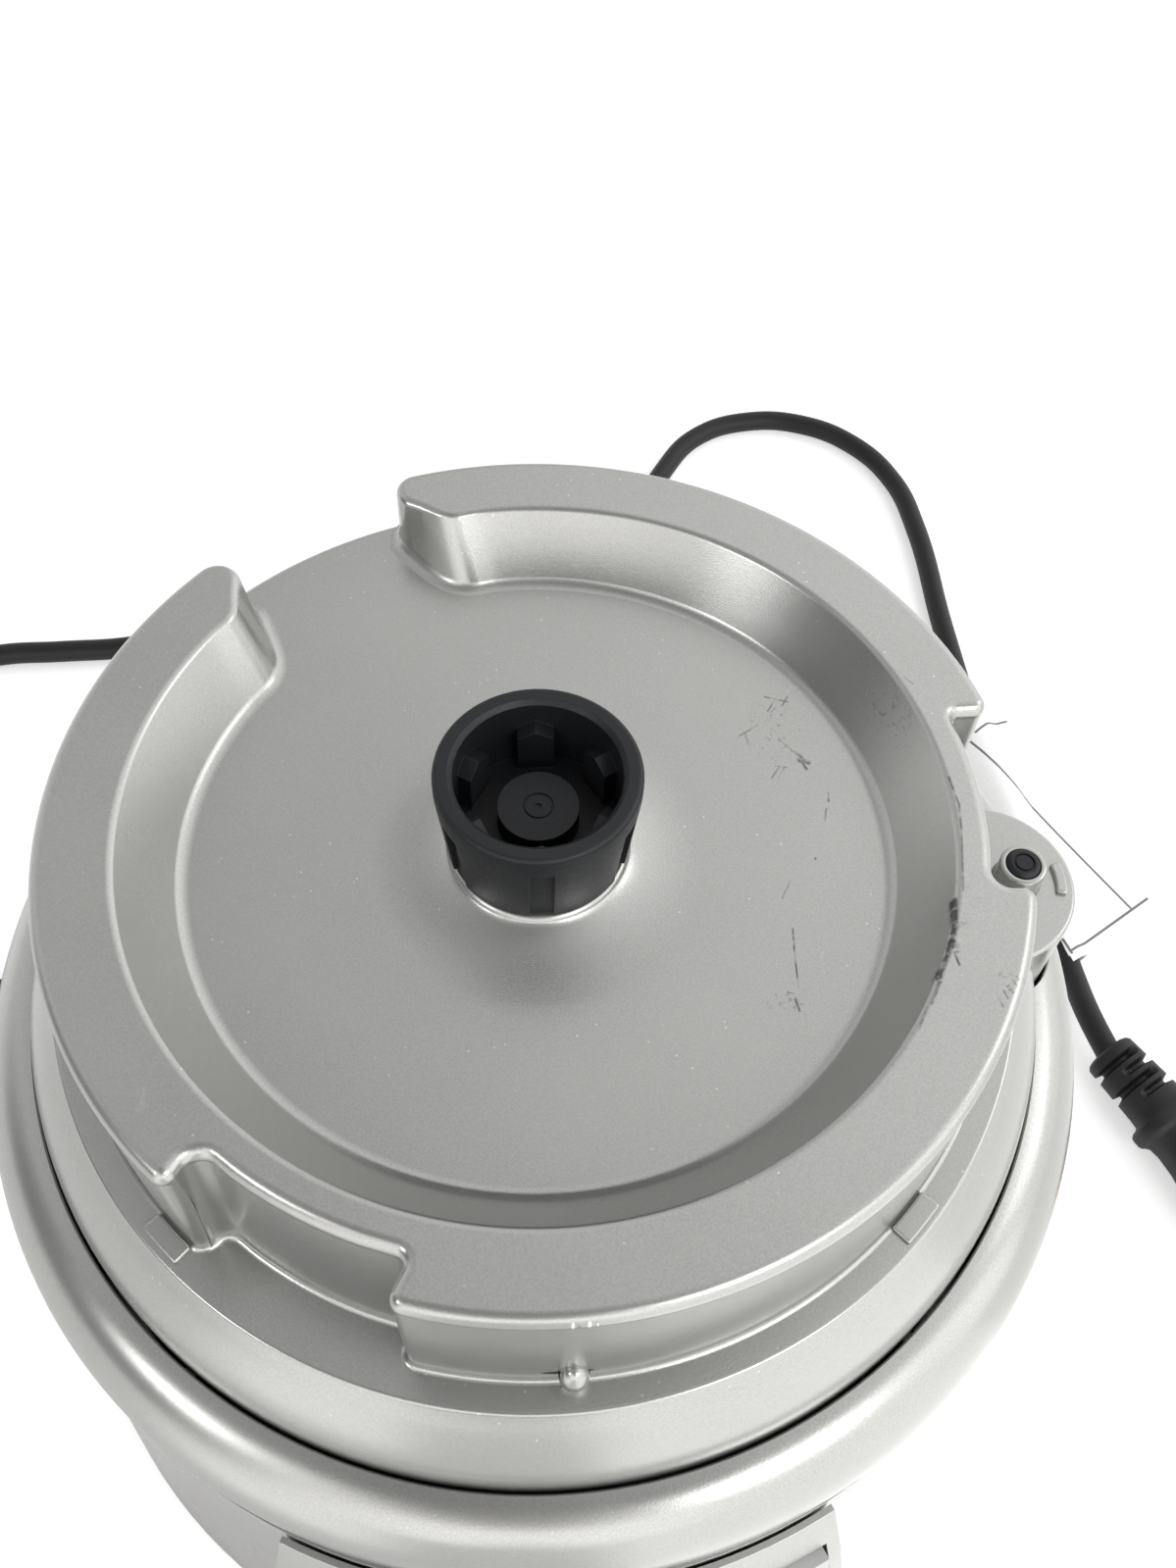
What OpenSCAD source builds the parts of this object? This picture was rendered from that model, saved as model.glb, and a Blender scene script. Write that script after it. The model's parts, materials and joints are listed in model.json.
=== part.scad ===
// Food processor motor base: a round housing with a dished bowl seat on top, a drive coupling
// in the middle of the dish, and a belt drive inside. The table is at z = 0 and the drive axis
// is the Z axis. The control panel faces -Y and the cord leaves at +Y.

/* [Bowl seat] */
// Height of the dish floor above the table
floor_z = 156; // [150:0.5:160]
// Radius of the flat dish floor
floor_r = 59; // [56:0.5:62]
// Rise of the bowl rim above the dish floor
rim_rise = 12; // [9:0.5:15]
// Outer radius of the bowl rim
rim_r = 80; // [78:0.5:82]
// Inner radius of the bowl rim at its top
rim_in_r = 67.3; // [65:0.1:69]
// Drop from the dish floor to the ledge that the bowl skirt stands on
ledge_drop = 20; // [16:0.5:22]
// Outer radius of the ledge
ledge_r = 85.1; // [84:0.1:87]
// Wall thickness of the moulded covers
wall = 2.4; // [2:0.1:3]

/* [Bayonet and chute] */
// Direction of the bayonet notch that the interlock stands in
lock_angle = 1.5; // [-3:0.5:5]
// Width of a bayonet notch
notch_w = 34.4; // [28:0.1:38]
// How far a notch is off centre, clockwise
notch_shift = 1.4; // [0:0.1:3]
// Radius of the curved back wall of a notch
notch_back = 73.2; // [72:0.1:74]
// Direction of the chute gap in the rim
chute_angle = 121.5; // [118:0.5:125]
// Half of the angle that the chute gap opens
chute_half = 12.9; // [10:0.1:15]

/* [Housing] */
// Radius of the seam between the cover and the shoulder ring
seam_r = 92.1; // [91:0.1:94]
// Height of that seam
seam_z = 118.4; // [116:0.1:120]
// Largest radius of the shoulder ring
shoulder_r = 103.4; // [102:0.1:105]
// Height at which the shoulder ring is widest
shoulder_z = 104.8; // [103:0.1:106]
// Radius of the lower housing under the shoulder ring
waist_r = 103.2; // [102:0.1:104]
// Height of the lower housing's top edge
waist_z = 92.6; // [92:0.1:93]
// Radius of the housing at its foot
foot_r = 110.6; // [109:0.1:112]
// Reach of the control panel and of the cord exit from the axis
panel_reach = 116.5; // [115:0.5:118]

/* [Drive coupling] */
// Outer radius of the coupling at its top
coupling_r = 16.5; // [16:0.1:17]
// Radius of the coupling's mouth
mouth_r = 13.3; // [13:0.1:13.5]
// Height of the coupling's top above the dish floor
coupling_rise = 23.1; // [22:0.1:24]
// Number of drive teeth inside the coupling
tooth_count = 6; // [4:1:8]

/* [Interlock] */
// Radius of the boss that carries the interlock
boss_r = 16.2; // [15:0.1:17]
// Distance from the axis to the middle of the boss
boss_at = 81.8; // [81:0.1:83]
// Distance from the axis to the interlock plunger
plunger_at = 87.2; // [86.5:0.1:88]
// Radius of the interlock plunger
plunger_r = 3; // [2.8:0.1:3.2]

/* [Belt drive] */
// Radius of the pulley on the spindle
driven_r = 38; // [36:0.5:40]
// Radius of the pulley on the motor shaft
motor_pulley_r = 9; // [8.5:0.5:10]
// Distance between the spindle and the motor shaft, behind it
motor_y = 54; // [53:0.5:56]
// Height of the middle of the belt
belt_z = 106; // [104:0.5:108]
// Width of the belt
belt_w = 10; // [8:0.5:11]

/* [Cord] */
// Diameter of the mains cord
cord_d = 6.6; // [6:0.1:7]
// Height of the cord where it leaves the housing
cord_z = 24; // [22:0.5:26]

/* [Hidden] */
$fn = 96;
gap = 0.3;
run = 0.06;
step = 0.02;
rim_z = floor_z + rim_rise;
ledge_z = floor_z - ledge_drop;
cover_low = seam_z - 8;
collar_z = ledge_z + 5.6;
coupling_top = floor_z + coupling_rise;
coupling_z = floor_z + 3.8;
shaft_r = 5;
rotor_r = 4;
plate_z = 89;
panel_half = 26.5;
key_angles = [-15, 0, 15];
key_z = 50;
seat_angles = [45, 135, 225, 315];
motor_bolts = [[-26, 26], [26, 26], [-26, -26], [26, -26]];
lock_angles = [lock_angle, lock_angle - 120];
cover_angles = [28, 152, 208, 332];
post_at = 74;
plate_t = 3;
board_r = 89.5;
plug_at = [152, 23, 7.8];
plug_turn = -56;

// ---- helpers ----

// Points of an arc from angle a0 to a1
function arc(c, r, a0, a1, n) =
    [for (i = [0:n]) let (a = a0 + (a1 - a0) * i / n) [c[0] + r * cos(a), c[1] + r * sin(a)]];

function unit(v) = v / norm(v);

// The arc of radius r that replaces the corner b between a and c
function corner(a, b, c, r, n) =
    let (u = unit(a - b), v = unit(c - b), half = acos(u * v) / 2,
        mid = b + unit(u + v) * (r / sin(half)),
        p = b + u * (r / tan(half)), q = b + v * (r / tan(half)),
        a0 = atan2(p[1] - mid[1], p[0] - mid[0]), a1 = atan2(q[1] - mid[1], q[0] - mid[0]),
        turn = a1 - a0 > 180 ? a1 - a0 - 360 : a1 - a0 < -180 ? a1 - a0 + 360 : a1 - a0)
    [for (i = [0:n]) mid + r * [cos(a0 + turn * i / n), sin(a0 + turn * i / n)]];

// An outline whose points are [x, y] or, where the corner is rounded, [x, y, radius]
function rounded(pts, n = 4) =
    let (m = len(pts), at = function (i) [pts[(i + m) % m][0], pts[(i + m) % m][1]])
    [for (i = [0:m - 1])
        each len(pts[i]) == 2 ? [at(i)] : corner(at(i - 1), at(i), at(i + 1), pts[i][2], n)];

module tube(r, bore, h) {
    difference() {
        cylinder(r = r, h = h);
        translate([0, 0, -1]) cylinder(r = bore, h = h + 2);
    }
}

// A slice of the turned outline between two angles
module slice(pts, from, to) {
    rotate([0, 0, from]) rotate_extrude(angle = to - from) polygon(pts);
}

// A cross-head screw, head up, with the underside of its head at z = 0
module screw(r, length) {
    difference() {
        union() {
            cylinder(r = r * 1.9, h = r * 1.1);
            translate([0, 0, -length]) cylinder(r = r, h = length + 0.1);
        }
        for (turn = [0, 90])
            rotate([0, 0, turn]) translate([-r, -r * 0.2, r * 0.5]) cube([2 * r, r * 0.4, r]);
    }
}

// ---- top cover ----

// The cover's outline from the axis to its lower edge, moved inwards by t
function cover_outline(t, low) = rounded([
    [0, low], [seam_r - t, low], [seam_r - t, seam_z],
    [seam_r - 1 - t, seam_z + 8], [ledge_r - t, ledge_z - t, 0.8],
    [rim_r - t, ledge_z - t, 0.8], [rim_r - t, rim_z - t, 2],
    [rim_in_r + t, rim_z - t, 1.5], [floor_r + t, floor_z - t, 3],
    [28, floor_z - t], [20, floor_z + 0.8 - t], [15.4, floor_z + 2.2 - t, 1],
    [14.6, floor_z + 3.2 - t], [0, floor_z + 3.2 - t]]);

// Plan of a bayonet notch, opening towards +X, with a back wall that follows the rim
function notch_plan(t) =
    let (r = notch_back - t, low = -notch_w / 2 - notch_shift - t, high = notch_w / 2 - notch_shift + t,
        from = asin(low / r), to = asin(high / r))
    rounded(concat([[r * cos(to), high, 1.8]],
        [for (i = [5:-1:1]) let (a = from + (to - from) * i / 6) r * [cos(a), sin(a)]],
        [[r * cos(from), low, 3], [ledge_r + 20, low], [ledge_r + 20, high]]));

module notches(t) {
    for (a = lock_angles)
        rotate([0, 0, a]) translate([0, 0, ledge_z - t + step]) linear_extrude(50) polygon(notch_plan(t));
}

// Plan of the chute gap: radial sides that flare where they meet the inner wall
function chute_plan(t) = let (steps = [[100, 0], [75, 0], [70.5, 1.1], [67, 2.7], [64, 4.6],
        [61, 7.1], [57, 11], [50, 11]], side = [for (s = steps) [s[0], chute_half + s[1] + t]])
    concat([for (s = side) s[0] * [cos(s[1]), sin(s[1])]],
        [for (i = [len(side) - 1:-1:0]) side[i][0] * [cos(side[i][1]), -sin(side[i][1])]]);

module chute_gap(t) {
    rotate([0, 0, chute_angle]) translate([0, 0, floor_z - t - step])
        linear_extrude(50) polygon(chute_plan(t * 0.9));
}

module interlock_boss(t, low) {
    rotate([0, 0, lock_angle]) translate([boss_at, 0, low])
        cylinder(r = boss_r - t, h = ledge_z - low - t + 2 * step);
}

module cover_solid(t, low) {
    difference() {
        union() {
            rotate_extrude($fn = 180) polygon(cover_outline(t, low));
            interlock_boss(t, low + wall - t);
        }
        notches(t);
        chute_gap(t);
    }
}

// Low pads on the ledge, close to the rim's foot
module ledge_pads() {
    for (a = [-136.6, -45.3])
        slice([[rim_r - 0.5, ledge_z - 0.5], [84, ledge_z - 0.5], [84, ledge_z + 0.6],
            [rim_r - 0.5, ledge_z + 0.6]], a - 2.9, a + 2.9);
}

module bearing_tube() {
    translate([0, 0, 116]) cylinder(r = 14, h = floor_z - 114);
    for (a = [0:60:300])
        rotate([0, 0, a]) translate([13, -1.2, 128]) cube([20, 2.4, floor_z - 129]);
}

module bearing_bores() {
    translate([0, 0, 115]) cylinder(r = 9, h = 60);
    translate([0, 0, 115]) cylinder(r = 11, h = 9);
    translate([0, 0, 142]) cylinder(r = 11, h = 20);
}

module collar_root() {
    rotate([0, 0, lock_angle]) translate([plunger_at, 0, 116.2])
        cylinder(r = plunger_r + 1.8, h = ledge_z - 116.2);
}

module collar() {
    rotate([0, 0, lock_angle]) translate([plunger_at, 0, ledge_z - 1])
        cylinder(r = plunger_r + 1.2, h = collar_z - ledge_z + 1);
}

// Posts that stand on the motor plate
module cover_posts() {
    for (a = cover_angles)
        rotate([0, 0, a]) translate([post_at, 0, plate_z + plate_t + 0.02])
            cylinder(r = 4.5, h = rim_z - plate_z - plate_t - 1);
}

module cover_post_holes() {
    for (a = cover_angles)
        rotate([0, 0, a]) translate([post_at, 0, plate_z]) cylinder(r = 1.75, h = 20);
}

module top_cover() color("silver") {
    difference() {
        union() {
            difference() {
                cover_solid(0, cover_low);
                difference() {
                    cover_solid(wall, cover_low - 1);
                    bearing_tube();
                    collar_root();
                }
            }
            collar();
            cover_posts();
            ledge_pads();
            rotate([0, 0, -88.5]) translate([rim_r - 1.55, 0, ledge_z + 1.9]) sphere(r = 1.9, $fn = 32);
            rotate([0, 0, lock_angle]) translate([94.2, -4, ledge_z - 1]) cube([2, 6, 2]);
        }
        bearing_bores();
        cover_post_holes();
        rotate([0, 0, lock_angle]) translate([plunger_at, 0, 80])
            cylinder(r = plunger_r + run, h = 80);
    }
}

// ---- housing ----

function shoulder_outline() = concat(
    [[seam_r + 0.6, seam_z - 4], [seam_r + 0.6, seam_z - 0.4]],
    [for (a = [80:-10:0]) [seam_r + (shoulder_r - seam_r) * cos(a),
        shoulder_z + (seam_z - 0.2 - shoulder_z) * sin(a)]],
    [[shoulder_r - 0.3, shoulder_z - 4], [shoulder_r - 1.6, waist_z + 1.2],
     [shoulder_r - 5, waist_z + 0.4], [seam_r + 3, waist_z + 0.4], [seam_r + 3, waist_z + 2.6],
     [shoulder_r - 4.2, waist_z + 2.6], [shoulder_r - 2.6, shoulder_z]],
    [for (a = [20:20:80]) [seam_r + (shoulder_r - seam_r - 2.6) * cos(a),
        shoulder_z + (seam_z - 3 - shoulder_z) * sin(a)]]);

module shoulder_ring() color("silver") {
    difference() {
        rotate_extrude($fn = 180) polygon(shoulder_outline());
        rotate([0, 0, lock_angle]) translate([boss_at, 0, 100]) cylinder(r = boss_r + 0.6, h = 40);
    }
}

// Radius of the flaring lower wall at height z
function flare(z) = waist_r + (foot_r - waist_r) * pow((waist_z - z) / waist_z, 1.25);

module lower_housing() color("silver") {
    levels = [waist_z, 84, 70, 56, 42, 28, 14, 1.2];
    difference() {
        union() {
            rotate_extrude($fn = 180) polygon(concat(
                [for (z = levels) [flare(z), z]],
                [for (i = [len(levels) - 1:-1:0]) [flare(levels[i]) - wall, levels[i]]]));
            slice([[seam_r + 0.4, waist_z - 3], [waist_r - 1, waist_z - 3], [waist_r - 1, waist_z],
                [seam_r + 0.4, waist_z]], 0, 360);
            for (a = seat_angles) {
                rotate([0, 0, a]) translate([82, 0, 4.62]) cylinder(r = 6, h = plate_z - 4.62 - gap);
                rotate([0, 0, a]) translate([82, -1.2, 10]) cube([20, 2.4, plate_z - 12]);
            }
            cord_hump();
        }
        for (a = seat_angles)
            rotate([0, 0, a]) translate([82, 0, 0]) {
                translate([0, 0, 4]) cylinder(r = 1.75, h = 17);
                translate([0, 0, plate_z - 16]) cylinder(r = 1.75, h = 20);
            }
        translate([0, 90, cord_z]) rotate([-90, 0, 0]) cylinder(r = 5.05, h = 30);
        translate([-13, 90, cord_z - 13]) cube([26, panel_reach - 94.8, 26]);
        panel_window();
        // two fine grooves under the shoulder
        for (z = [88.6, 87.2])
            translate([0, 0, z]) tube(waist_r + 4, flare(z) - 0.35, 0.4);
    }
}

// Raised block at the back that the cord leaves through, with sloping top and foot
module cord_hump() {
    translate([-17, 0, cord_z]) rotate([90, 0, 90]) linear_extrude(34)
        polygon([[104, -19], [panel_reach - 5, -19], [panel_reach, -13], [panel_reach, 13],
            [panel_reach - 5, 19], [102, 19]]);
}

// Opening in the front wall that the panel's switches look through
module panel_window() {
    slice([[90, 30], [120, 30], [120, 80], [90, 80]], -90 - 22, -90 + 22);
}

module base_plate() color("dimgray") {
    difference() {
        union() {
            translate([0, 0, 2.2]) cylinder(r = foot_r - wall - 1.2, h = 2.4);
            for (r = [46, 90.3])
                translate([0, 0, 4.5]) tube(r, r - 2, 5);
            for (a = [20:40:340])
                rotate([0, 0, a]) translate([30, -1, 4.5]) cube([15.5, 2, 3]);
        }
        for (a = seat_angles) {
            rotate([0, 0, a]) translate([82, 0, 1]) {
                cylinder(r = 2.25, h = 12);
                cylinder(r = 5, h = 2.4);
            }
            rotate([0, 0, a + 24]) translate([96, 0, 1]) cylinder(r = 4, h = 12);
        }
        // cooling slots
        for (a = [0:12:348])
            rotate([0, 0, a]) translate([52, -1.6, 1]) cube([26, 3.2, 8]);
    }
}

module rubber_feet() color("black") {
    for (a = seat_angles)
        rotate([0, 0, a + 24]) translate([96, 0, 0]) {
            cylinder(r1 = 7, r2 = 8, h = 2.2);
            translate([0, 0, 2.1]) cylinder(r = 4, h = 3.4);
            translate([0, 0, 4.6]) cylinder(r1 = 5.4, r2 = 3.6, h = 2.4);
        }
}

// ---- control panel ----

// The panel's outer face: it leaves the waist and slopes forward to its full reach
function panel_edge(t) = [[waist_r + 1.6 - t, waist_z - 1 - t * 0.4], [110 - t, 80],
    [114.6 - t, 66], [panel_reach - 0.4 - t, 50], [panel_reach - t, 36], [114 - t * 0.6, 24 + t]];

function panel_body() = concat([[flare(88) + gap, waist_z - 1]], panel_edge(0),
    [for (z = [24, 38, 52, 66, 80, 88]) [flare(z) + gap, z]]);

function panel_recess() = concat(
    [[flare(84) + 2.2, 84], [flare(84) + 6, 84]], [for (z = [72, 56, 40, 32]) [flare(z) + 16, z]],
    [for (z = [32, 44, 56, 70]) [flare(z) + 2.2, z]]);

module key_openings(extra) {
    for (k = key_angles)
        slice([[100, key_z - 9 - extra], [122, key_z - 9 - extra], [122, key_z + 9 + extra],
            [100, key_z + 9 + extra]], -90 + k - 5.5 - extra * 0.5, -90 + k + 5.5 + extra * 0.5);
}

module control_panel() color("gainsboro") {
    difference() {
        slice(panel_body(), -90 - panel_half, -90 + panel_half);
        slice(panel_recess(), -90 - panel_half + 1.4, -90 + panel_half - 1.4);
        key_openings(gap);
        rotate([0, 0, -90]) translate([100, 0, 74]) rotate([0, 90, 0]) cylinder(r = 2.4, h = 30);
    }
}

// Dark face plate with turned-in edges, set in the panel's frame
function face_plate() = [[107, 82.6], [110.4, 82.6], [112.4, 74], [114, 64], [115.2, 50], [115.4, 34],
    [111, 34], [111, 36.4], [113, 36.4], [112.8, 50], [111.6, 64], [110, 73.4], [108.6, 80.2], [107, 80.2]];

module panel_face() color("dimgray") {
    difference() {
        slice(face_plate(), -90 - panel_half + 1.7, -90 + panel_half - 1.7);
        key_openings(gap);
        rotate([0, 0, -90]) translate([100, 0, 74]) rotate([0, 90, 0]) cylinder(r = 2.4, h = 30);
    }
}

module indicator_lens() color("red") {
    rotate([0, 0, -90]) translate([92.5, 0, 74]) rotate([0, 90, 0]) cylinder(r = 2.2, h = 20.3);
}

// A push key: a curved cap, and a stem that reaches its switch
module key(k) {
    slice([[106.5, key_z - 8.7], [116.1, key_z - 8.7], [116.3, key_z], [115.7, key_z + 8.7],
        [106.5, key_z + 8.7]], -90 + k - 5.2, -90 + k + 5.2);
    rotate([0, 0, -90 + k]) translate([board_r + 10.6, 0, key_z]) rotate([0, 90, 0])
        cylinder(r = 2.5, h = 7.5);
}

module off_key() color("gray") key(key_angles[0]);
module low_key() color("gray") key(key_angles[1]);
module pulse_key() color("gray") key(key_angles[2]);

module key_switches() color("black") {
    for (k = key_angles)
        rotate([0, 0, -90 + k]) translate([0, 0, key_z]) {
            translate([board_r + 2, -3, -3]) cube([4.4, 6, 6]);
            translate([board_r + 6.3, 0, 0]) rotate([0, 90, 0]) cylinder(r = 1.6, h = 2.4);
        }
}

// The circuit board stands behind the keys, folded to face each of them
module control_board() color("darkgreen") {
    folds = [-22.5, -7.5, 7.5, 22.5];
    translate([0, 0, 9.52]) linear_extrude(67) polygon(concat(
        [for (a = folds) board_r / cos(7.5) * [cos(a - 90), sin(a - 90)]],
        [for (i = [3:-1:0]) (board_r + 2) / cos(7.5) * [cos(folds[i] - 90), sin(folds[i] - 90)]]));
}

// ---- interlock ----

module at_plunger(z) {
    rotate([0, 0, lock_angle]) translate([plunger_at, 0, z]) children();
}

module interlock_plunger() color("black") {
    at_plunger(collar_z + 0.6) difference() {
        union() {
            translate([0, 0, -38.7]) cylinder(r = plunger_r, h = 38.1);
            translate([0, 0, -0.7]) cylinder(r1 = plunger_r, r2 = plunger_r - 0.6, h = 0.7);
            translate([0, 0, -28]) cylinder(r = plunger_r + 2, h = 1.6);
        }
        translate([0, 0, -0.35]) tube(1.9, 1.5, 2);
    }
}

// Turns of the return spring, stacked as separate rings
module interlock_spring() color("lightgray") {
    at_plunger(0) for (i = [0:5])
        translate([0, 0, 106.6 + i * 1.25]) rotate_extrude($fn = 48)
            translate([plunger_r + 1.3, 0]) circle(r = 0.45, $fn = 16);
}

module switch_bracket() color("white") {
    at_plunger(0) difference() {
        union() {
            translate([-7, -11, 103.6]) cube([11, 22, 2.2]);
            for (y = [-11, 9]) translate([-7, y, 92]) cube([11, 2, 12]);
            translate([-7, -11, 103.6]) cube([2, 22, 16]);
        }
        translate([0, 0, 100]) cylinder(r = plunger_r + 0.5, h = 10);
    }
}

module interlock_switch() color("black") {
    at_plunger(0) {
        translate([-5, -8.7, 88]) cube([8, 17.4, 9.6]);
        translate([-1, -1, 97.5]) cube([2, 2, 1.6]);
    }
}

// ---- spindle ----

// The cup's outside, which narrows a little towards its foot
module coupling_shell() {
    rotate_extrude() polygon(rounded([[0, coupling_z], [15, coupling_z, 0.6],
        [coupling_r, coupling_top - 3], [coupling_r, coupling_top, 0.9], [0, coupling_top]]));
}

// A drive tooth, with a ridged top that guides the blade hub in
module tooth() {
    translate([0, 0, coupling_z + 5]) intersection() {
        translate([10.6, -3, 0]) cube([3.6, 6, 12]);
        rotate([90, 0, 90]) translate([0, 0, 8]) linear_extrude(8)
            polygon([[-3, 0], [3, 0], [3, 8], [0, 9.6], [-3, 8]]);
    }
}

module drive_coupling() color("#2b2d2e") {
    difference() {
        union() {
            difference() {
                coupling_shell();
                translate([0, 0, coupling_z + 5]) cylinder(r = mouth_r, h = 30);
                translate([0, 0, coupling_top - 0.8]) cylinder(r1 = mouth_r, r2 = mouth_r + 0.8, h = 0.81);
            }
            for (i = [0:tooth_count - 1])
                rotate([0, 0, 30 + i * 360 / tooth_count]) tooth();
            translate([0, 0, coupling_z + 4]) cylinder(r = 6.6, h = 5.6);
        }
        // core-outs behind the teeth, open at the foot
        for (i = [0:tooth_count - 1])
            rotate([0, 0, 30 + i * 360 / tooth_count])
                translate([14.2, -1.9, coupling_z - 1]) cube([5, 3.8, 15.6]);
        translate([0, 0, coupling_z - 1]) cylinder(r = shaft_r - 0.02, h = 9);
        translate([0, 0, coupling_z - 1]) tube(13.2, 8, 4.2);
        translate([0, 0, coupling_z + 9.3]) tube(2.5, 2.2, 2);
        translate([0, 0, coupling_z + 9.2]) cylinder(r = 0.5, h = 2);
    }
}

module drive_spindle() color("lightgray") {
    difference() {
        translate([0, 0, 92]) cylinder(r = shaft_r - 0.02, h = coupling_z + 7 - 92);
        translate([0, 0, 115.2]) tube(shaft_r + 1, shaft_r - 0.7, 1.3);
    }
}

module retaining_ring() color("gray") {
    translate([0, 0, 115.35]) tube(8, shaft_r - 0.65, 1);
}

module driven_pulley() color("#3a3a3a") {
    difference() {
        translate([0, 0, belt_z - belt_w / 2 - 1.5]) union() {
            tube(driven_r, driven_r - 4, belt_w + 3);
            for (z = [0, belt_w + 1.5]) translate([0, 0, z]) tube(driven_r + 1.6, driven_r - 4, 1.5);
            cylinder(r = 9, h = belt_w + 3);
            translate([0, 0, 4]) cylinder(r = driven_r - 3, h = 3);
            for (a = [0:60:300]) rotate([0, 0, a]) translate([8, -1, 0.5]) cube([driven_r - 11.5, 2, 11]);
        }
        translate([0, 0, 90]) cylinder(r = shaft_r - 0.02, h = 40);
        for (a = [30:60:330]) rotate([0, 0, a]) translate([21, 0, 90]) cylinder(r = 6, h = 40);
    }
}

module pulley_nut() color("lightgray") {
    translate([0, 0, 95.2]) difference() {
        cylinder(r = 8.5, h = 4, $fn = 6);
        translate([0, 0, -1]) cylinder(r = shaft_r - 0.02, h = 8);
    }
}

module ball_bearing(r, bore, h) {
    tube(r, r - 2, h);
    tube(bore + 1.8, bore, h);
    translate([0, 0, 0.8]) tube(r - 1.9, bore + 1.7, h - 1.6);
}

module upper_bearing() color("silver")
    translate([0, 0, 142.1]) ball_bearing(10.98, shaft_r + 0.02, 7);
module lower_bearing() color("silver")
    translate([0, 0, 117]) ball_bearing(10.98, shaft_r + 0.02, 7);

module shaft_seal() color("saddlebrown")
    translate([0, 0, 149.4]) tube(10.98, shaft_r + 0.03, 5);

// ---- belt ----

belt_tilt = asin((driven_r - motor_pulley_r) / motor_y);

// Area inside a belt that runs d outside the two pulleys
module belt_area(d) {
    circle(r = driven_r + d);
    translate([0, motor_y]) circle(r = motor_pulley_r + d);
    polygon([for (p = [[0, driven_r, 1], [motor_y, motor_pulley_r, 1],
        [motor_y, motor_pulley_r, -1], [0, driven_r, -1]])
        [p[2] * (p[1] + d) * cos(belt_tilt), p[0] + (p[1] + d) * sin(belt_tilt)]]);
}

module drive_belt() color("#1c1c1c") {
    translate([0, 0, belt_z - belt_w / 2 + gap]) linear_extrude(belt_w - 2 * gap) difference() {
        belt_area(2.3);
        belt_area(gap);
    }
}

// ---- motor ----

module at_motor(z) {
    translate([0, motor_y, z]) children();
}

module motor_pulley() color("silver") {
    at_motor(belt_z - belt_w / 2 - 1) difference() {
        union() {
            cylinder(r = motor_pulley_r, h = belt_w + 2);
            for (z = [-1, belt_w + 1.6]) translate([0, 0, z]) cylinder(r = motor_pulley_r + 2, h = 1.4);
        }
        translate([0, 0, -5]) cylinder(r = rotor_r, h = 30);
    }
}

module motor_shaft() color("lightgray")
    at_motor(11.5) cylinder(r = rotor_r, h = belt_z + 8 - 11.5);

// Laminated core with its winding slots
module armature_core() color("dimgray") {
    at_motor(42) difference() {
        cylinder(r = 19, h = 26);
        translate([0, 0, -1]) cylinder(r = rotor_r, h = 30);
        for (a = [0:30:330]) rotate([0, 0, a]) translate([13, -1.2, -1]) cube([8, 2.4, 30]);
    }
}

module armature_windings() color("#b5651d") {
    at_motor(36.2) difference() {
        union() {
            cylinder(r = 15.5, h = 5.8);
            translate([0, 0, 31.8]) cylinder(r = 15.5, h = 5.8);
        }
        translate([0, 0, -1]) cylinder(r = rotor_r, h = 50);
    }
}

module commutator() color("peru") {
    at_motor(25) difference() {
        cylinder(r = 10, h = 10.6);
        translate([0, 0, -1]) cylinder(r = rotor_r, h = 20);
        for (a = [0:30:330]) rotate([0, 0, a]) translate([9.2, -0.25, -1]) cube([2, 0.5, 20]);
    }
}

module cooling_fan() color("#303030") {
    at_motor(75) difference() {
        union() {
            cylinder(r = 8, h = 6);
            cylinder(r = 24, h = 1.4);
            for (a = [0:36:324]) rotate([0, 0, a]) translate([7.5, -0.8, 0]) cube([16, 1.6, 6]);
        }
        translate([0, 0, -1]) cylinder(r = rotor_r, h = 20);
    }
}

module stator_core() color("slategray") {
    at_motor(43) difference() {
        intersection() {
            cylinder(r = 38, h = 24);
            translate([-32, -34, 0]) cube([64, 68, 24]);
        }
        translate([0, 0, -1]) cylinder(r = 19.6, h = 30);
        for (side = [-1, 1]) for (up = [-1, 1])
            translate([side * 21.5 - 5, up * 12 - 7, -1]) cube([10, 14, 30]);
        for (p = motor_bolts) translate([p[0], p[1], -1]) cylinder(r = 2, h = 30);
    }
}

// Two field coils: legs in the core's slots, joined above and below by end turns round the bore
module field_coils() color("#c2742f") {
    for (up = [-1, 1]) at_motor(35) difference() {
        union() {
            for (side = [-1, 1]) translate([side * 21.5 - 4.7, up * 12 - 6.7, 0]) cube([9.4, 13.4, 39]);
            for (z = [0, 32.2]) {
                translate([-26.2, up * 12 - 6.7, z]) cube([52.4, 13.4, z > 0 ? 6.8 : 7.8]);
                translate([-19.5, up * 21.5 - 3, z]) cube([39, 6, z > 0 ? 6.8 : 7.8]);
            }
        }
        translate([0, 0, -1]) cylinder(r = 19.6, h = 50);
    }
}

module carbon_brushes() color("#222222") {
    for (side = [-1, 1])
        at_motor(27.97) translate([side * 14.2 - 4, -2.95, 0]) cube([8, 5.9, 4.9]);
}

module brush_holders() color("goldenrod") {
    for (side = [-1, 1]) at_motor(26.92) difference() {
        translate([side * 20.5 - 9, -4, 0]) cube([18, 8, 7]);
        translate([side * 20.5 - 10 - side * 0.8, -3, 1]) cube([20, 6, 5]);
    }
}

module motor_bearings() color("silver") {
    at_motor(14) ball_bearing(9.5, rotor_r + 0.04, 6);
    at_motor(90) ball_bearing(9.5, rotor_r + 0.04, 6);
}

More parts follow.
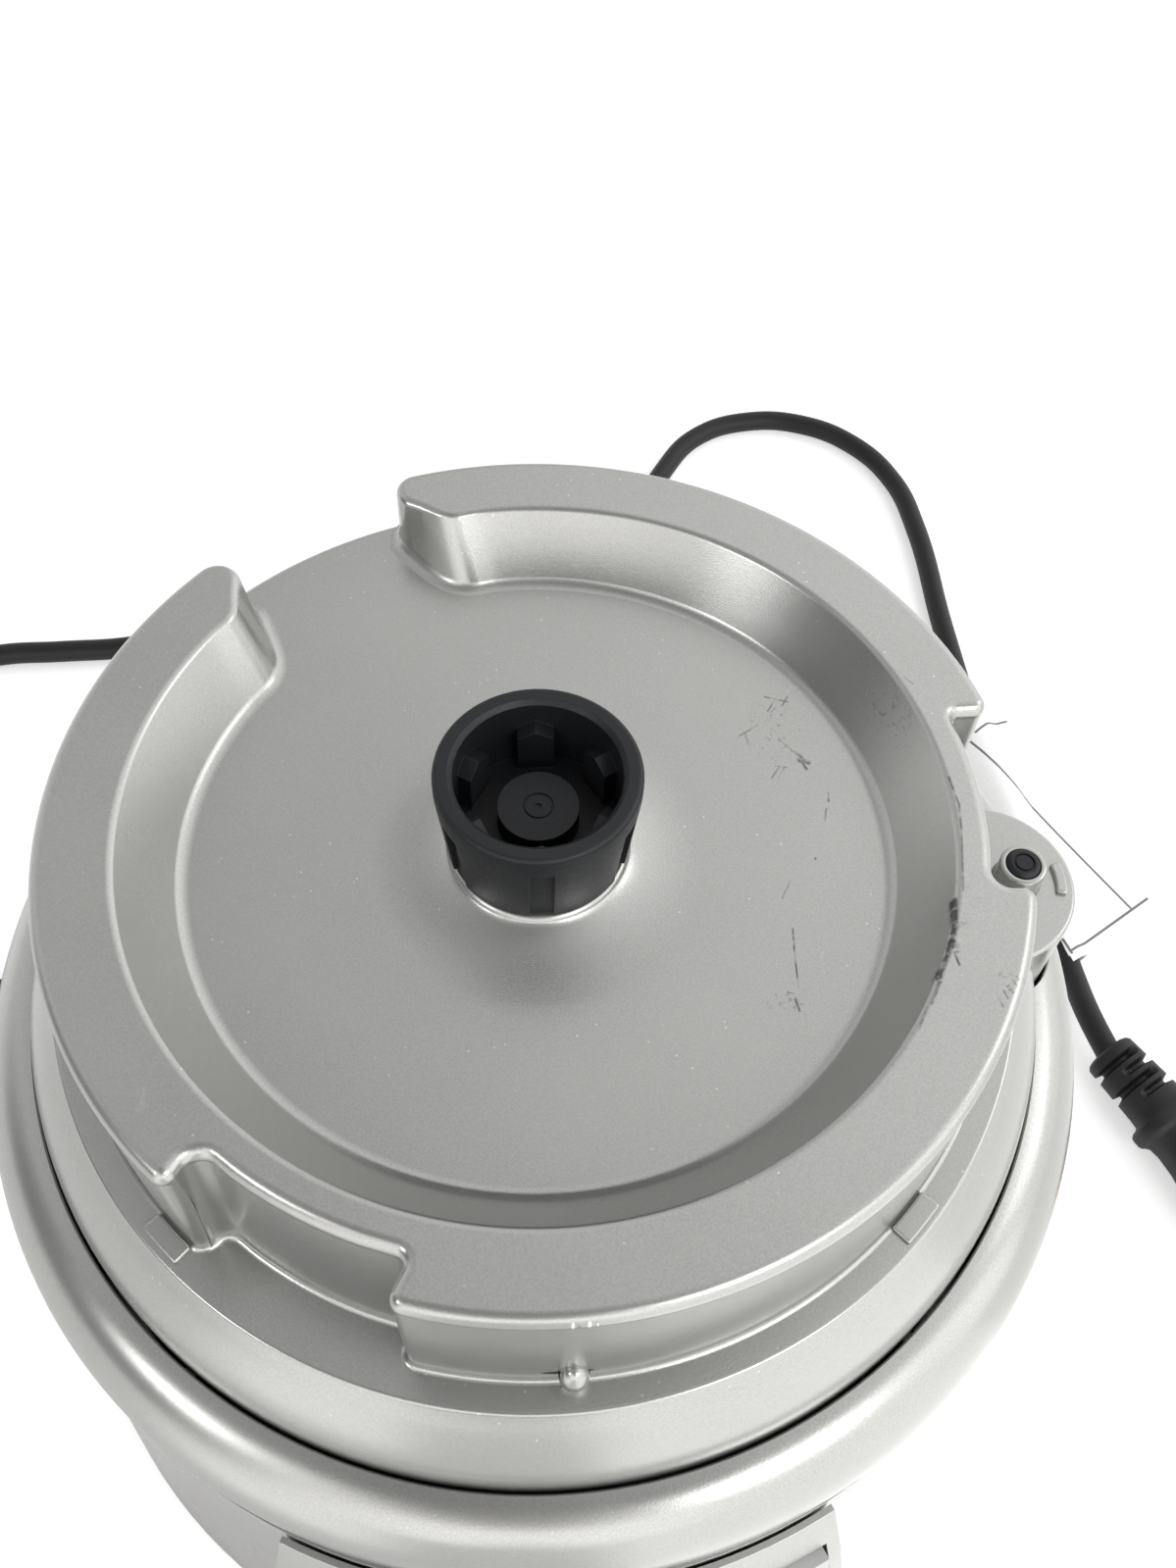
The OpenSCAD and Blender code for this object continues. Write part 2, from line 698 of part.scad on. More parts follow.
// Four arms with a post at the end of each, at one of the motor's ends
module bracket_frame(post_from, post_to, arm_from) {
    for (p = motor_bolts) at_motor(0) {
        translate([p[0], p[1], post_from]) cylinder(r = 4.5, h = post_to - post_from);
        rotate([0, 0, atan2(p[1], p[0])]) translate([10.5, -3.5, arm_from]) cube([norm(p) - 10.5, 7, 4.6]);
    }
}

module upper_bracket() color("silver") {
    difference() {
        union() {
            bracket_frame(67.1, plate_z - 0.02, 84.2);
            at_motor(83.8) cylinder(r = 12, h = 12.8);
        }
        at_motor(80) cylinder(r = 6, h = 20);
        at_motor(90) cylinder(r = 9.52, h = 20);
        for (p = motor_bolts) at_motor(60) translate([p[0], p[1], 0]) cylinder(r = 2, h = 40);
    }
}

module lower_bracket() color("silver") {
    difference() {
        union() {
            bracket_frame(16.5, 42.9, 17);
            at_motor(13) cylinder(r = 12, h = 9.2);
            at_motor(17.4) for (side = [-1, 1])
                translate([side * 19.2 - 8.4, -5, 0]) cube([16.8, 10, 9.5]);
        }
        at_motor(13.9) cylinder(r = 9.52, h = 20);
        at_motor(10) cylinder(r = 6, h = 20);
        for (p = motor_bolts) at_motor(10) translate([p[0], p[1], 0]) cylinder(r = 2, h = 40);
    }
}

// Long bolts that hold the brackets and the core together under the plate
module motor_screws() color("gray") {
    for (p = motor_bolts) at_motor(plate_z + 3) translate([p[0], p[1], 0]) screw(1.95, 72);
}

// Steel plate that carries the motor, on rubber mounts
module motor_plate() color("lightgray") {
    difference() {
        translate([0, 0, plate_z]) cylinder(r = 91, h = plate_t);
        at_motor(80) cylinder(r = 12.4, h = 20);
        for (p = motor_bolts) at_motor(80) translate([p[0], p[1], 0]) cylinder(r = 2, h = 20);
        for (a = seat_angles) rotate([0, 0, a]) translate([82, 0, 80]) cylinder(r = 3.6, h = 20);
        translate([0, 0, 80]) cylinder(r = 13, h = 20);
        // room for the interlock switch
        rotate([0, 0, lock_angle]) translate([plunger_at - 5.8, -8.95, 80]) cube([30, 17.9, 20]);
        for (a = cover_angles) rotate([0, 0, a]) translate([post_at, 0, 80]) cylinder(r = 2, h = 20);
        for (a = [200, 230, 310, 340]) rotate([0, 0, a]) translate([45, 0, 80]) cylinder(r = 12, h = 20);
    }
}

module motor_mounts() color("black") {
    for (a = seat_angles) rotate([0, 0, a]) translate([82, 0, plate_z]) {
        translate([0, 0, -0.28]) tube(5.8, 2.1, 0.26);
        translate([0, 0, -0.1]) tube(3.55, 2.1, 3.2);
        translate([0, 0, 3.02]) tube(6.5, 2.1, 1.6);
    }
}

module mount_screws() color("gray") {
    for (a = seat_angles)
        rotate([0, 0, a]) translate([82, 0, plate_z + 4.7]) screw(1.72, 16);
}

module cover_screws() color("gray") {
    for (a = cover_angles)
        rotate([0, 0, a]) translate([post_at, 0, plate_z - 0.02]) mirror([0, 0, 1]) screw(1.72, 18);
}

module base_screws() color("gray") {
    for (a = seat_angles)
        rotate([0, 0, a]) translate([82, 0, 3.35]) mirror([0, 0, 1]) screw(1.72, 15);
}

// ---- mains cord ----

module terminal_block() color("ivory") {
    translate([-52, 62, 9.6]) difference() {
        cube([14, 24, 14]);
        for (y = [5, 12, 19]) translate([7, y, 6]) cylinder(r = 2.2, h = 10);
    }
}

module cord_clamp() color("black") {
    translate([-14, 84, cord_z]) difference() {
        translate([0, 0, 9.52 - cord_z]) cube([28, 9, cord_z + 9 - 9.52]);
        translate([14, -1, 0]) rotate([-90, 0, 0]) cylinder(r = cord_d / 2 + 0.05, h = 12);
        for (x = [4, 24]) translate([x, 4.5, 0]) cylinder(r = 1.4, h = 20);
    }
}

module clamp_screws() color("gray") {
    for (x = [-10, 10]) translate([x, 88.5, cord_z + 9.02]) screw(1.38, 8);
}

// Ribbed boot with a flange that the housing traps
module strain_relief() color("#1a1a1a") {
    translate([0, 0, cord_z]) rotate([-90, 0, 0]) difference() {
        union() {
            translate([0, 0, 94]) cylinder(r = cord_d / 2 + 1.4, h = 13);
            translate([0, 0, 107]) cylinder(r = 7.5, h = 4.4);
            translate([0, 0, 111]) cylinder(r = 5, h = panel_reach - 111 + 0.1);
            translate([0, 0, panel_reach]) cylinder(r1 = 6, r2 = cord_d / 2 + 1, h = 28);
        }
        translate([0, 0, 90]) cylinder(r = cord_d / 2, h = 60);
        for (i = [0:5])
            translate([0, 0, panel_reach + 4 + i * 3.8]) tube(9, cord_d / 2 + 1.1, 1.4);
    }
}

// Route of the cord from the boot to the plug, over the table
cord_low = cord_d / 2 + 0.1;
cord_points = [
    [0, 84, cord_z], [0, 100, cord_z], [0, 116, cord_z], [0, 132, cord_z], [0, 146, cord_z],
    [-2, 160, 21], [-8, 173, 15], [-19, 183, 8], [-36, 189, cord_low], [-57, 189, cord_low],
    [-79, 184, cord_low], [-101, 178, cord_low], [-123, 173, cord_low], [-143, 172, cord_low],
    [-163, 171, cord_low], [-182, 165, cord_low], [-198, 152, cord_low], [-208, 133, cord_low],
    [-210, 111, cord_low], [-203, 89, cord_low], [-188, 70, cord_low], [-168, 58, cord_low],
    [-147, 54, cord_low], [-128, 61, cord_low], [-114, 76, cord_low], [-99, 91, cord_low],
    [-80, 105, cord_low], [-58, 116, cord_low], [-35, 123, cord_low], [-11, 127, cord_low],
    [12, 133, cord_low], [29, 146, cord_low], [39, 165, cord_low], [43, 187, cord_low],
    [43, 209, cord_low], [45, 229, cord_low], [53, 247, cord_low], [66, 263, cord_low],
    [84, 270, cord_low], [104, 268, cord_low], [121, 257, cord_low], [132, 239, cord_low],
    [136, 217, cord_low], [137, 194, cord_low], [137, 172, cord_low], [137, 150, cord_low],
    [139.5, 128, cord_low], [142.5, 106, cord_low], [145, 84, cord_low], [147.5, 64, cord_low],
    [149, 47, 4], [150, 34, 6.4], plug_at];

// A smooth curve through the points, with one extra point between each pair
function between(p, i) =
    let (a = p[max(i - 1, 0)], b = p[i], c = p[i + 1], d = p[min(i + 2, len(p) - 1)])
    (9 * (b + c) - a - d) / 16;

cord_line = [for (i = [0:len(cord_points) - 1])
    each i < len(cord_points) - 1 && i > 3 && i % 2 == 0
        ? [cord_points[i], between(cord_points, i)] : [cord_points[i]]];

// Direction of a line at its point i
function heading(p, i) = unit(p[min(i + 1, len(p) - 1)] - p[max(i - 1, 0)]);

module sweep(line, r, sides) {
    n = len(line);
    rings = [for (i = [0:n - 1]) let (t = heading(line, i),
            side = unit(cross(t, [0, 0, 1])), up = cross(side, t))
        each [for (k = [0:sides - 1]) let (a = 360 * (k + 0.5) / sides)
            line[i] + r * (cos(a) * side + sin(a) * up)]];
    polyhedron(rings, concat(
        [[for (k = [0:sides - 1]) k]],
        [for (i = [0:n - 2]) each [for (k = [0:sides - 1])
            let (j = (k + 1) % sides) each [
                [i * sides + k, (i + 1) * sides + k, (i + 1) * sides + j],
                [i * sides + k, (i + 1) * sides + j, i * sides + j]]]],
        [[for (k = [sides - 1:-1:0]) (n - 1) * sides + k]]));
}

module power_cord() color("#1a1a1a")
    sweep(cord_line, cord_d / 2, 8);

module at_plug() {
    translate(plug_at) rotate([0, 0, plug_turn]) children();
}

// Moulded plug, lying along +X: slotted relief, flange and a grip that widens to the blades
module plug_body() color("#1a1a1a") {
    at_plug() difference() {
        union() {
            rotate([0, 90, 0]) cylinder(r1 = 6.6, r2 = 7.6, h = 20);
            translate([19.9, -10.5, -7]) cube([4.1, 21, 14]);
            translate([24, 0, -6.5]) linear_extrude(13) polygon(rounded([[0, -8], [9, -9, 6],
                [24, -13, 4], [28, -13], [28, 13], [24, 13, 4], [9, 9, 6], [0, 8]]));
        }
        // staggered slots that let the relief bend
        for (i = [0:3]) for (side = [-1, 1])
            translate([3 + i * 4 + (side + 1), side * 5.6 - 3, -9]) cube([1.6, 6, 18]);
        for (up = [-1, 1]) translate([33, -9, up * 7.3 - 1.2]) cube([12, 18, 2.4]);
    }
}

module plug_blades() color("gold") {
    at_plug() for (side = [-1, 1]) {
        high = side > 0 ? 7.9 : 6.35;
        translate([52, side * 6.35 - 0.75, -high / 2]) difference() {
            cube([17, 1.5, high]);
            translate([13, -1, high / 2]) rotate([-90, 0, 0]) cylinder(r = 1.5, h = 4);
        }
    }
}

// Blank paper tag, folded askew over the straight lead behind the plug
module cord_tag() color("white") {
    from = [138.6, 135];
    to = [147.4, 65];
    span = norm(to - from);
    difference() {
        union() {
            translate([0, 0, cord_low - 0.3]) linear_extrude(0.6)
                polygon([from, [156, 136], [181, 75], [150, 55], to]);
            at_fold(from, to) cylinder(r = cord_d / 2 + 0.9, h = span);
        }
        at_fold(from, to) translate([0, 0, -1]) cylinder(r = cord_d / 2 + 0.4, h = span + 2);
        translate([100, 0, -20]) cube([100, 200, 20.1]);
        translate([140, 50, cord_low - 4]) cube([12, 14.9, 8]);
    }
}

module at_fold(from, to) {
    translate([from[0], from[1], cord_low]) rotate([0, 0, atan2(to[1] - from[1], to[0] - from[0])])
        rotate([0, 90, 0]) children();
}

top_cover();
shoulder_ring();
lower_housing();
base_plate();
rubber_feet();
control_panel();
panel_face();
indicator_lens();
control_board();
key_switches();
off_key();
low_key();
pulse_key();
interlock_plunger();
interlock_spring();
interlock_switch();
switch_bracket();
drive_coupling();
drive_spindle();
driven_pulley();
pulley_nut();
retaining_ring();
upper_bearing();
lower_bearing();
shaft_seal();
drive_belt();
motor_pulley();
motor_shaft();
armature_core();
armature_windings();
commutator();
cooling_fan();
stator_core();
field_coils();
carbon_brushes();
brush_holders();
motor_bearings();
upper_bracket();
lower_bracket();
motor_plate();
motor_mounts();
mount_screws();
motor_screws();
cover_screws();
base_screws();
terminal_block();
cord_clamp();
clamp_screws();
strain_relief();
power_cord();
plug_body();
plug_blades();
cord_tag();
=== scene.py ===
import json
import math

import bmesh
import bpy
from mathutils import Matrix, Vector


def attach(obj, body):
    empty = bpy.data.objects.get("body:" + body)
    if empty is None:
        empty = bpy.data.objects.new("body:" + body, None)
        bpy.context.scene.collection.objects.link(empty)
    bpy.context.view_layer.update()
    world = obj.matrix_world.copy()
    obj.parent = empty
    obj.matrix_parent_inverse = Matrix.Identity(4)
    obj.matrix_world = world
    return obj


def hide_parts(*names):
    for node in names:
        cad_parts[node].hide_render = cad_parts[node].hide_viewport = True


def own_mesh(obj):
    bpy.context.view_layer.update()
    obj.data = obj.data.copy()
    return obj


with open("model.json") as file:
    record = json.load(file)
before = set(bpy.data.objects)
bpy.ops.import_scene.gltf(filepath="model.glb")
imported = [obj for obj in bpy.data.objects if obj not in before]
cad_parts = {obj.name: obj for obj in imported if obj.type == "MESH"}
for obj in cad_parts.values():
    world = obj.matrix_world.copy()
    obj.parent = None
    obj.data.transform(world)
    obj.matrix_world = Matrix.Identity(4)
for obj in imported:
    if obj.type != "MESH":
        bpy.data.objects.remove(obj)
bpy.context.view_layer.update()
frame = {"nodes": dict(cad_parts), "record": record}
nodes = frame["nodes"]
mm = 0.001
print("frame loaded:", len(nodes), "nodes")

# Camera, looking down on the bowl seat from the front
cameraSet = {"place": (-4.50, -128.80, 366.29), "turn": (34.06, -1.519, -3.212), "lens": 33.79}
cameraData = bpy.data.cameras.new("camera")
cameraData.lens = cameraSet["lens"]
cameraData.sensor_width = 36
camera = bpy.data.objects.new("camera", cameraData)
camera.location = Vector(cameraSet["place"]) * mm
camera.rotation_euler = [math.radians(a) for a in cameraSet["turn"]]
bpy.context.scene.collection.objects.link(camera)
bpy.context.scene.camera = camera
bpy.context.scene.view_settings.view_transform = "Standard"


# Plan position at a radius and an angle about the axis
def polar(r, angle):
    return Vector((r * math.cos(math.radians(angle)), r * math.sin(math.radians(angle))))


# A new material with its shader's own values set
def newMaterial(name, **values):
    material = bpy.data.materials.new(name)
    material.use_nodes = True
    tree = material.node_tree
    shader = tree.nodes["Principled BSDF"]
    for key, value in values.items():
        shader.inputs[key].default_value = value
    return material, tree, shader


def addNode(tree, kind, settings=None, **inputs):
    node = tree.nodes.new(kind)
    for key, value in (settings or {}).items():
        setattr(node, key, value)
    for key, value in inputs.items():
        socket = node.inputs[int(key[1:])] if key[0] == "i" and key[1:].isdigit() else node.inputs[key]
        if isinstance(value, bpy.types.NodeSocket):
            tree.links.new(value, socket)
        else:
            socket.default_value = value
    return node


def objectCoords(tree):
    return addNode(tree, "ShaderNodeTexCoord").outputs["Object"]


def noise(tree, coords, scale, detail=3.0, rough=0.55):
    return addNode(tree, "ShaderNodeTexNoise", Vector=coords, Scale=scale, Detail=detail,
                   Roughness=rough).outputs["Fac"]


# value between low and high, as source runs from start to end
def mapped(tree, source, start, end, low, high):
    return addNode(tree, "ShaderNodeMapRange", i0=source, i1=start, i2=end, i3=low, i4=high).outputs[0]


def math2(tree, operation, a, b):
    return addNode(tree, "ShaderNodeMath", {"operation": operation}, i0=a, i1=b).outputs[0]


def mixColour(tree, factor, a, b, blend="MIX"):
    node = addNode(tree, "ShaderNodeMix", {"data_type": "RGBA", "blend_type": blend})
    for socket, value in ((node.inputs[0], factor), (node.inputs[6], a), (node.inputs[7], b)):
        if isinstance(value, bpy.types.NodeSocket):
            tree.links.new(value, socket)
        else:
            socket.default_value = value
    return node.outputs[2]


# Part of a surface within half sizes of a place, in millimetres; ragged breaks its edge into marks
def spotMask(tree, coords, place, half, ragged, strength):
    away = addNode(tree, "ShaderNodeVectorMath", {"operation": "SUBTRACT"}, i0=coords,
                   i1=[v * mm for v in place]).outputs[0]
    away = addNode(tree, "ShaderNodeVectorMath", {"operation": "MULTIPLY"}, i0=away,
                   i1=[1 / (v * mm) for v in half]).outputs[0]
    reach = addNode(tree, "ShaderNodeVectorMath", {"operation": "LENGTH"}, i0=away).outputs["Value"]
    if not ragged:
        return mapped(tree, reach, 0.85, 1.0, strength, 0.0)
    near = mapped(tree, reach, 0.3, 1.0, strength, 0.0)
    return math2(tree, "MULTIPLY", near, mapped(tree, noise(tree, coords, ragged, 6.0, 0.78), 0.572, 0.606, 0.0, 1.0))


# Thin rubbed lines seen from above: start, end, width, strength
scratches = [
    ((40.7, -16.7), (40.4, -20.8), 0.3, 0.75), ((40.4, -20.8), (40.2, -27.2), 0.3, 0.75),
    ((39.5, -29.4), (39.8, -31.3), 0.35, 0.7), ((50.4, 9.3), (50.2, 7.7), 0.35, 0.75),
    ((49.6, 6.3), (49.0, 3.7), 0.28, 0.55), ((41.6, -7.6), (39.7, -11.0), 0.25, 0.35),
    ((42.8, 15.4), (40.9, 12.8), 0.22, 0.6), ((43.6, 15.2), (42.2, 12.9), 0.22, 0.6),
    ((41.9, 15.4), (44.0, 15.0), 0.2, 0.45), ((40.0, 24.4), (36.4, 22.1), 0.3, 0.5),
    ((37.5, 22.7), (37.8, 20.0), 0.25, 0.4), ((42.0, 30.6), (46.1, 29.3), 0.35, 0.55),
    ((42.1, 27.4), (43.9, 30.1), 0.3, 0.5), ((44.8, 28.4), (46.1, 30.6), 0.3, 0.55),
    ((43.4, 20.9), (45.5, 18.5), 0.3, 0.35), ((45.5, 18.5), (46.8, 17.2), 0.6, 0.65),
    ((46.5, 16.5), (47.8, 16.0), 1.1, 0.75), ((46.9, 16.0), (47.3, 14.6), 0.6, 0.7),
    ((46.3, -3.5), (46.3, -3.7), 0.4, 0.9), ((67.7, 3.9), (68.3, -1.6), 0.4, 0.6),
    ((68.3, -1.6), (67.7, -6.6), 0.4, 0.6), ((67.7, -6.6), (65.8, -17.5), 0.35, 0.45),
    ((64.1, -18.9), (63.1, -24.2), 1.1, 0.85), ((63.1, -24.2), (61.5, -28.1), 1.1, 0.85),
    ((61.5, -28.1), (59.0, -32.1), 0.9, 0.8), ((59.1, -32.9), (57.2, -36.6), 0.5, 0.45),
    ((56.4, -37.1), (54.6, -40.5), 0.4, 0.4), ((62.2, -28.2), (62.6, -30.3), 0.4, 0.75),
    ((63.9, 24.9), (65.2, 23.5), 0.3, 0.4), ((67.4, -36.0), (67.8, -37.5), 0.3, 0.6),
    ((68.4, -34.9), (68.8, -36.2), 0.3, 0.5), ((69.4, -34.1), (69.8, -35.3), 0.3, 0.5),
    ((70.3, -33.3), (70.6, -34.4), 0.25, 0.4),
]


def scratchMask(tree, coords):
    flat = addNode(tree, "ShaderNodeVectorMath", {"operation": "MULTIPLY"}, i0=coords, i1=(1 / mm, 1 / mm, 0)).outputs[0]
    deepest = None
    for start, end, width, strength in scratches:
        along = Vector((end[0] - start[0], end[1] - start[1], 0))
        away = addNode(tree, "ShaderNodeVectorMath", {"operation": "SUBTRACT"}, i0=flat, i1=(*start, 0)).outputs[0]
        share = addNode(tree, "ShaderNodeVectorMath", {"operation": "DOT_PRODUCT"}, i0=away,
                        i1=along / along.length_squared).outputs["Value"]
        share = mapped(tree, share, 0.0, 1.0, 0.0, 1.0)
        foot = addNode(tree, "ShaderNodeVectorMath", {"operation": "SCALE"}, i0=along, Scale=share).outputs[0]
        gap = addNode(tree, "ShaderNodeVectorMath", {"operation": "DISTANCE"}, i0=away, i1=foot).outputs["Value"]
        line = mapped(tree, gap, 0.3 * width, 0.65 * width, strength, 0.0)
        deepest = math2(tree, "MAXIMUM", deepest, line) if deepest else line
    return math2(tree, "MULTIPLY", deepest, mapped(tree, noise(tree, coords, 650, 3.0), 0.38, 0.52, 0.25, 1.0))


# Satin metallic paint with fine flake, dust, rubbed spots and spots of painted shade
paint = {"colour": (0.42, 0.42, 0.407, 1), "metal": 0.82, "rough": 0.26, "flakeScale": 3200, "flakeDepth": 0.05,
         "cloudScale": 22, "dustScale": 420, "dust": (0.75, 0.75, 0.72, 1)}


def silverPaint(name, spots=(), dust=0.0):
    material, tree, shader = newMaterial(name, Metallic=paint["metal"])
    coords = objectCoords(tree)
    flake = noise(tree, coords, paint["flakeScale"], 1.0)
    cloud = noise(tree, coords, paint["cloudScale"], 4.0)
    shade = mapped(tree, flake, 0.3, 0.7, 0.94, 1.06)
    shade = math2(tree, "MULTIPLY", shade, mapped(tree, cloud, 0.3, 0.7, 0.97, 1.03))
    colour = mixColour(tree, 1.0, paint["colour"], addNode(tree, "ShaderNodeCombineColor", i0=shade, i1=shade,
                                                             i2=shade).outputs[0], "MULTIPLY")
    roughness = mapped(tree, cloud, 0.3, 0.7, paint["rough"] - 0.03, paint["rough"] + 0.03)
    # spots are scuffs and nicks, and one is painted shade standing in for a slit
    for place, half, ragged, tone, strength in spots:
        mask = spotMask(tree, coords, place, half, ragged, strength)
        colour = mixColour(tree, mask, colour, tone)
        roughness = math2(tree, "ADD", roughness, math2(tree, "MULTIPLY", mask, 0.25))
    if spots:
        colour = mixColour(tree, scratchMask(tree, coords), colour, black)
    if dust:
        cells = addNode(tree, "ShaderNodeTexVoronoi", Vector=coords, Scale=paint["dustScale"])
        grains = mapped(tree, cells.outputs["Distance"], 0.06, 0.09, 1.0, 0.0)
        grains = math2(tree, "MULTIPLY", grains, mapped(tree, noise(tree, coords, 70, 3.0), 0.5, 0.6, 0.0, dust))
        colour = mixColour(tree, grains, colour, paint["dust"])
    tree.links.new(colour, shader.inputs["Base Color"])
    tree.links.new(roughness, shader.inputs["Roughness"])
    bump = addNode(tree, "ShaderNodeBump", Strength=paint["flakeDepth"], Distance=0.0002, Height=flake)
    tree.links.new(bump.outputs[0], shader.inputs["Normal"])
    return material


# Moulded plastic, rubber or paper: tint, roughness, grain size and depth
def mouldedLook(name, colour, rough, grain=900, depth=0.12, vary=0.12, **values):
    material, tree, shader = newMaterial(name, **values)
    coords = objectCoords(tree)
    fine = noise(tree, coords, grain, 3.0)
    cloud = noise(tree, coords, 35, 4.0)
    shade = mapped(tree, cloud, 0.3, 0.7, 1 - vary, 1 + vary)
    shaded = mixColour(tree, 1.0, (*colour, 1), addNode(tree, "ShaderNodeCombineColor", i0=shade, i1=shade,
                                                         i2=shade).outputs[0], "MULTIPLY")
    tree.links.new(shaded, shader.inputs["Base Color"])
    tree.links.new(mapped(tree, fine, 0.3, 0.7, rough - 0.05, rough + 0.05), shader.inputs["Roughness"])
    bump = addNode(tree, "ShaderNodeBump", Strength=depth, Distance=0.0002, Height=fine)
    tree.links.new(bump.outputs[0], shader.inputs["Normal"])
    return material


# Turned or stamped metal: streaks stretched along one axis
def metalLook(name, colour, rough, stretch=(1, 1, 12), depth=0.08):
    material, tree, shader = newMaterial(name, Metallic=1.0)
    coords = objectCoords(tree)
    streaks = addNode(tree, "ShaderNodeMapping", Vector=coords, Scale=stretch).outputs[0]
    grain = noise(tree, streaks, 500, 4.0)
    cloud = noise(tree, coords, 60, 3.0)
    shade = mapped(tree, cloud, 0.3, 0.7, 0.88, 1.08)
    shaded = mixColour(tree, 1.0, (*colour, 1), addNode(tree, "ShaderNodeCombineColor", i0=shade, i1=shade,
                                                         i2=shade).outputs[0], "MULTIPLY")
    tree.links.new(shaded, shader.inputs["Base Color"])
    tree.links.new(mapped(tree, grain, 0.3, 0.7, rough - 0.07, rough + 0.09), shader.inputs["Roughness"])
    bump = addNode(tree, "ShaderNodeBump", Strength=depth, Distance=0.0001, Height=grain)
    tree.links.new(bump.outputs[0], shader.inputs["Normal"])
    return material


# White paper with thin ruled lines, each from one point to another
tagLines = {"lines": [((135.8, 125), (171.5, 67.7)), ((148.7, 52.4), (177.5, 71)), ((147.6, 56.4), (149.1, 51.8)),
                      ((137.6, 127.8), (142.3, 131.4)), ((142.3, 131.4), (149.7, 134.1))],
            "width": (0.30, 0.42), "ink": (0.16, 0.16, 0.16, 1)}


def paperLook(name):
    material, tree, shader = newMaterial(name, Roughness=0.6)
    coords = objectCoords(tree)
    split = addNode(tree, "ShaderNodeSeparateXYZ", i0=coords)
    fibre = noise(tree, coords, 900, 4.0)
    shade = mapped(tree, fibre, 0.3, 0.7, 0.92, 0.97)
    colour = addNode(tree, "ShaderNodeCombineColor", i0=shade, i1=shade, i2=shade).outputs[0]
    for start, end in tagLines["lines"]:
        a, b = Vector(start) * mm, Vector(end) * mm
        middle, along = (a + b) / 2, (b - a).normalized()
        x = math2(tree, "SUBTRACT", split.outputs[0], middle.x)
        y = math2(tree, "SUBTRACT", split.outputs[1], middle.y)
        run = math2(tree, "ADD", math2(tree, "MULTIPLY", x, along.x), math2(tree, "MULTIPLY", y, along.y))
        off = math2(tree, "SUBTRACT", math2(tree, "MULTIPLY", x, along.y), math2(tree, "MULTIPLY", y, along.x))
        thin, wide = (w * mm for w in tagLines["width"])
        ink = mapped(tree, math2(tree, "ABSOLUTE", off, 0), thin, wide, 1.0, 0.0)
        reach = (b - a).length / 2
        ink = math2(tree, "MULTIPLY", ink, mapped(tree, math2(tree, "ABSOLUTE", run, 0), reach, reach + thin, 1, 0))
        colour = mixColour(tree, ink, colour, tagLines["ink"])
    tree.links.new(colour, shader.inputs["Base Color"])
    bump = addNode(tree, "ShaderNodeBump", Strength=0.05, Distance=0.0001, Height=fibre)
    tree.links.new(bump.outputs[0], shader.inputs["Normal"])
    return material


# place, half size, raggedness, tone and strength of each mark: scuffs on the dish, rubbed rim, and painted shade for
# the slit beside the pip
black = (0.03, 0.03, 0.03, 1)
bright = (0.85, 0.85, 0.83, 1)
coverScuffsAndShade = [
    ((43, 23, 156), (6, 9, 1), 1100, black, 0.4), ((38, -29, 156), (4.5, 3, 1), 900, black, 0.5),
    # the second mark on the next line is painted shade: a solid black band on the wall stands in for the dark slit
    # beside the pip, and nothing is cut
    ((70.8, -33.5, 168), (4.5, 2.5, 1), 640, black, 0.8), ((1.3, -79.6, 140.2), (4.3, 1.5, 0.95), 0, black, 1.0),
    ((1.6, -79.8, 166.4), (0.25, 1, 0.9), 0, bright, 0.9), ((3.8, -79.8, 166.4), (0.3, 1, 0.9), 0, bright, 0.8),
    ((4.9, -79.8, 166.2), (0.2, 1, 0.6), 0, bright, 0.7), ((2.4, -79.9, 166.0), (0.3, 1, 0.5), 0, black, 0.4),
    ((-57, -46, 166), (3, 5, 3), 650, bright, 0.35), ((60, 22, 165), (6, 14, 5), 600, black, 0.45),
]
coverScuffsAndShade += [((*polar(67.9, a), 167.3), (1.6, 2.8, 1.5), 700 + 9 * a, black, 0.9) for a in range(-29, -13, 5)]
silver = silverPaint("silverPaint", dust=0.35)
coverSilver = silverPaint("coverPaint", coverScuffsAndShade, 0.6)
dull = {"Specular IOR Level": 0.35}
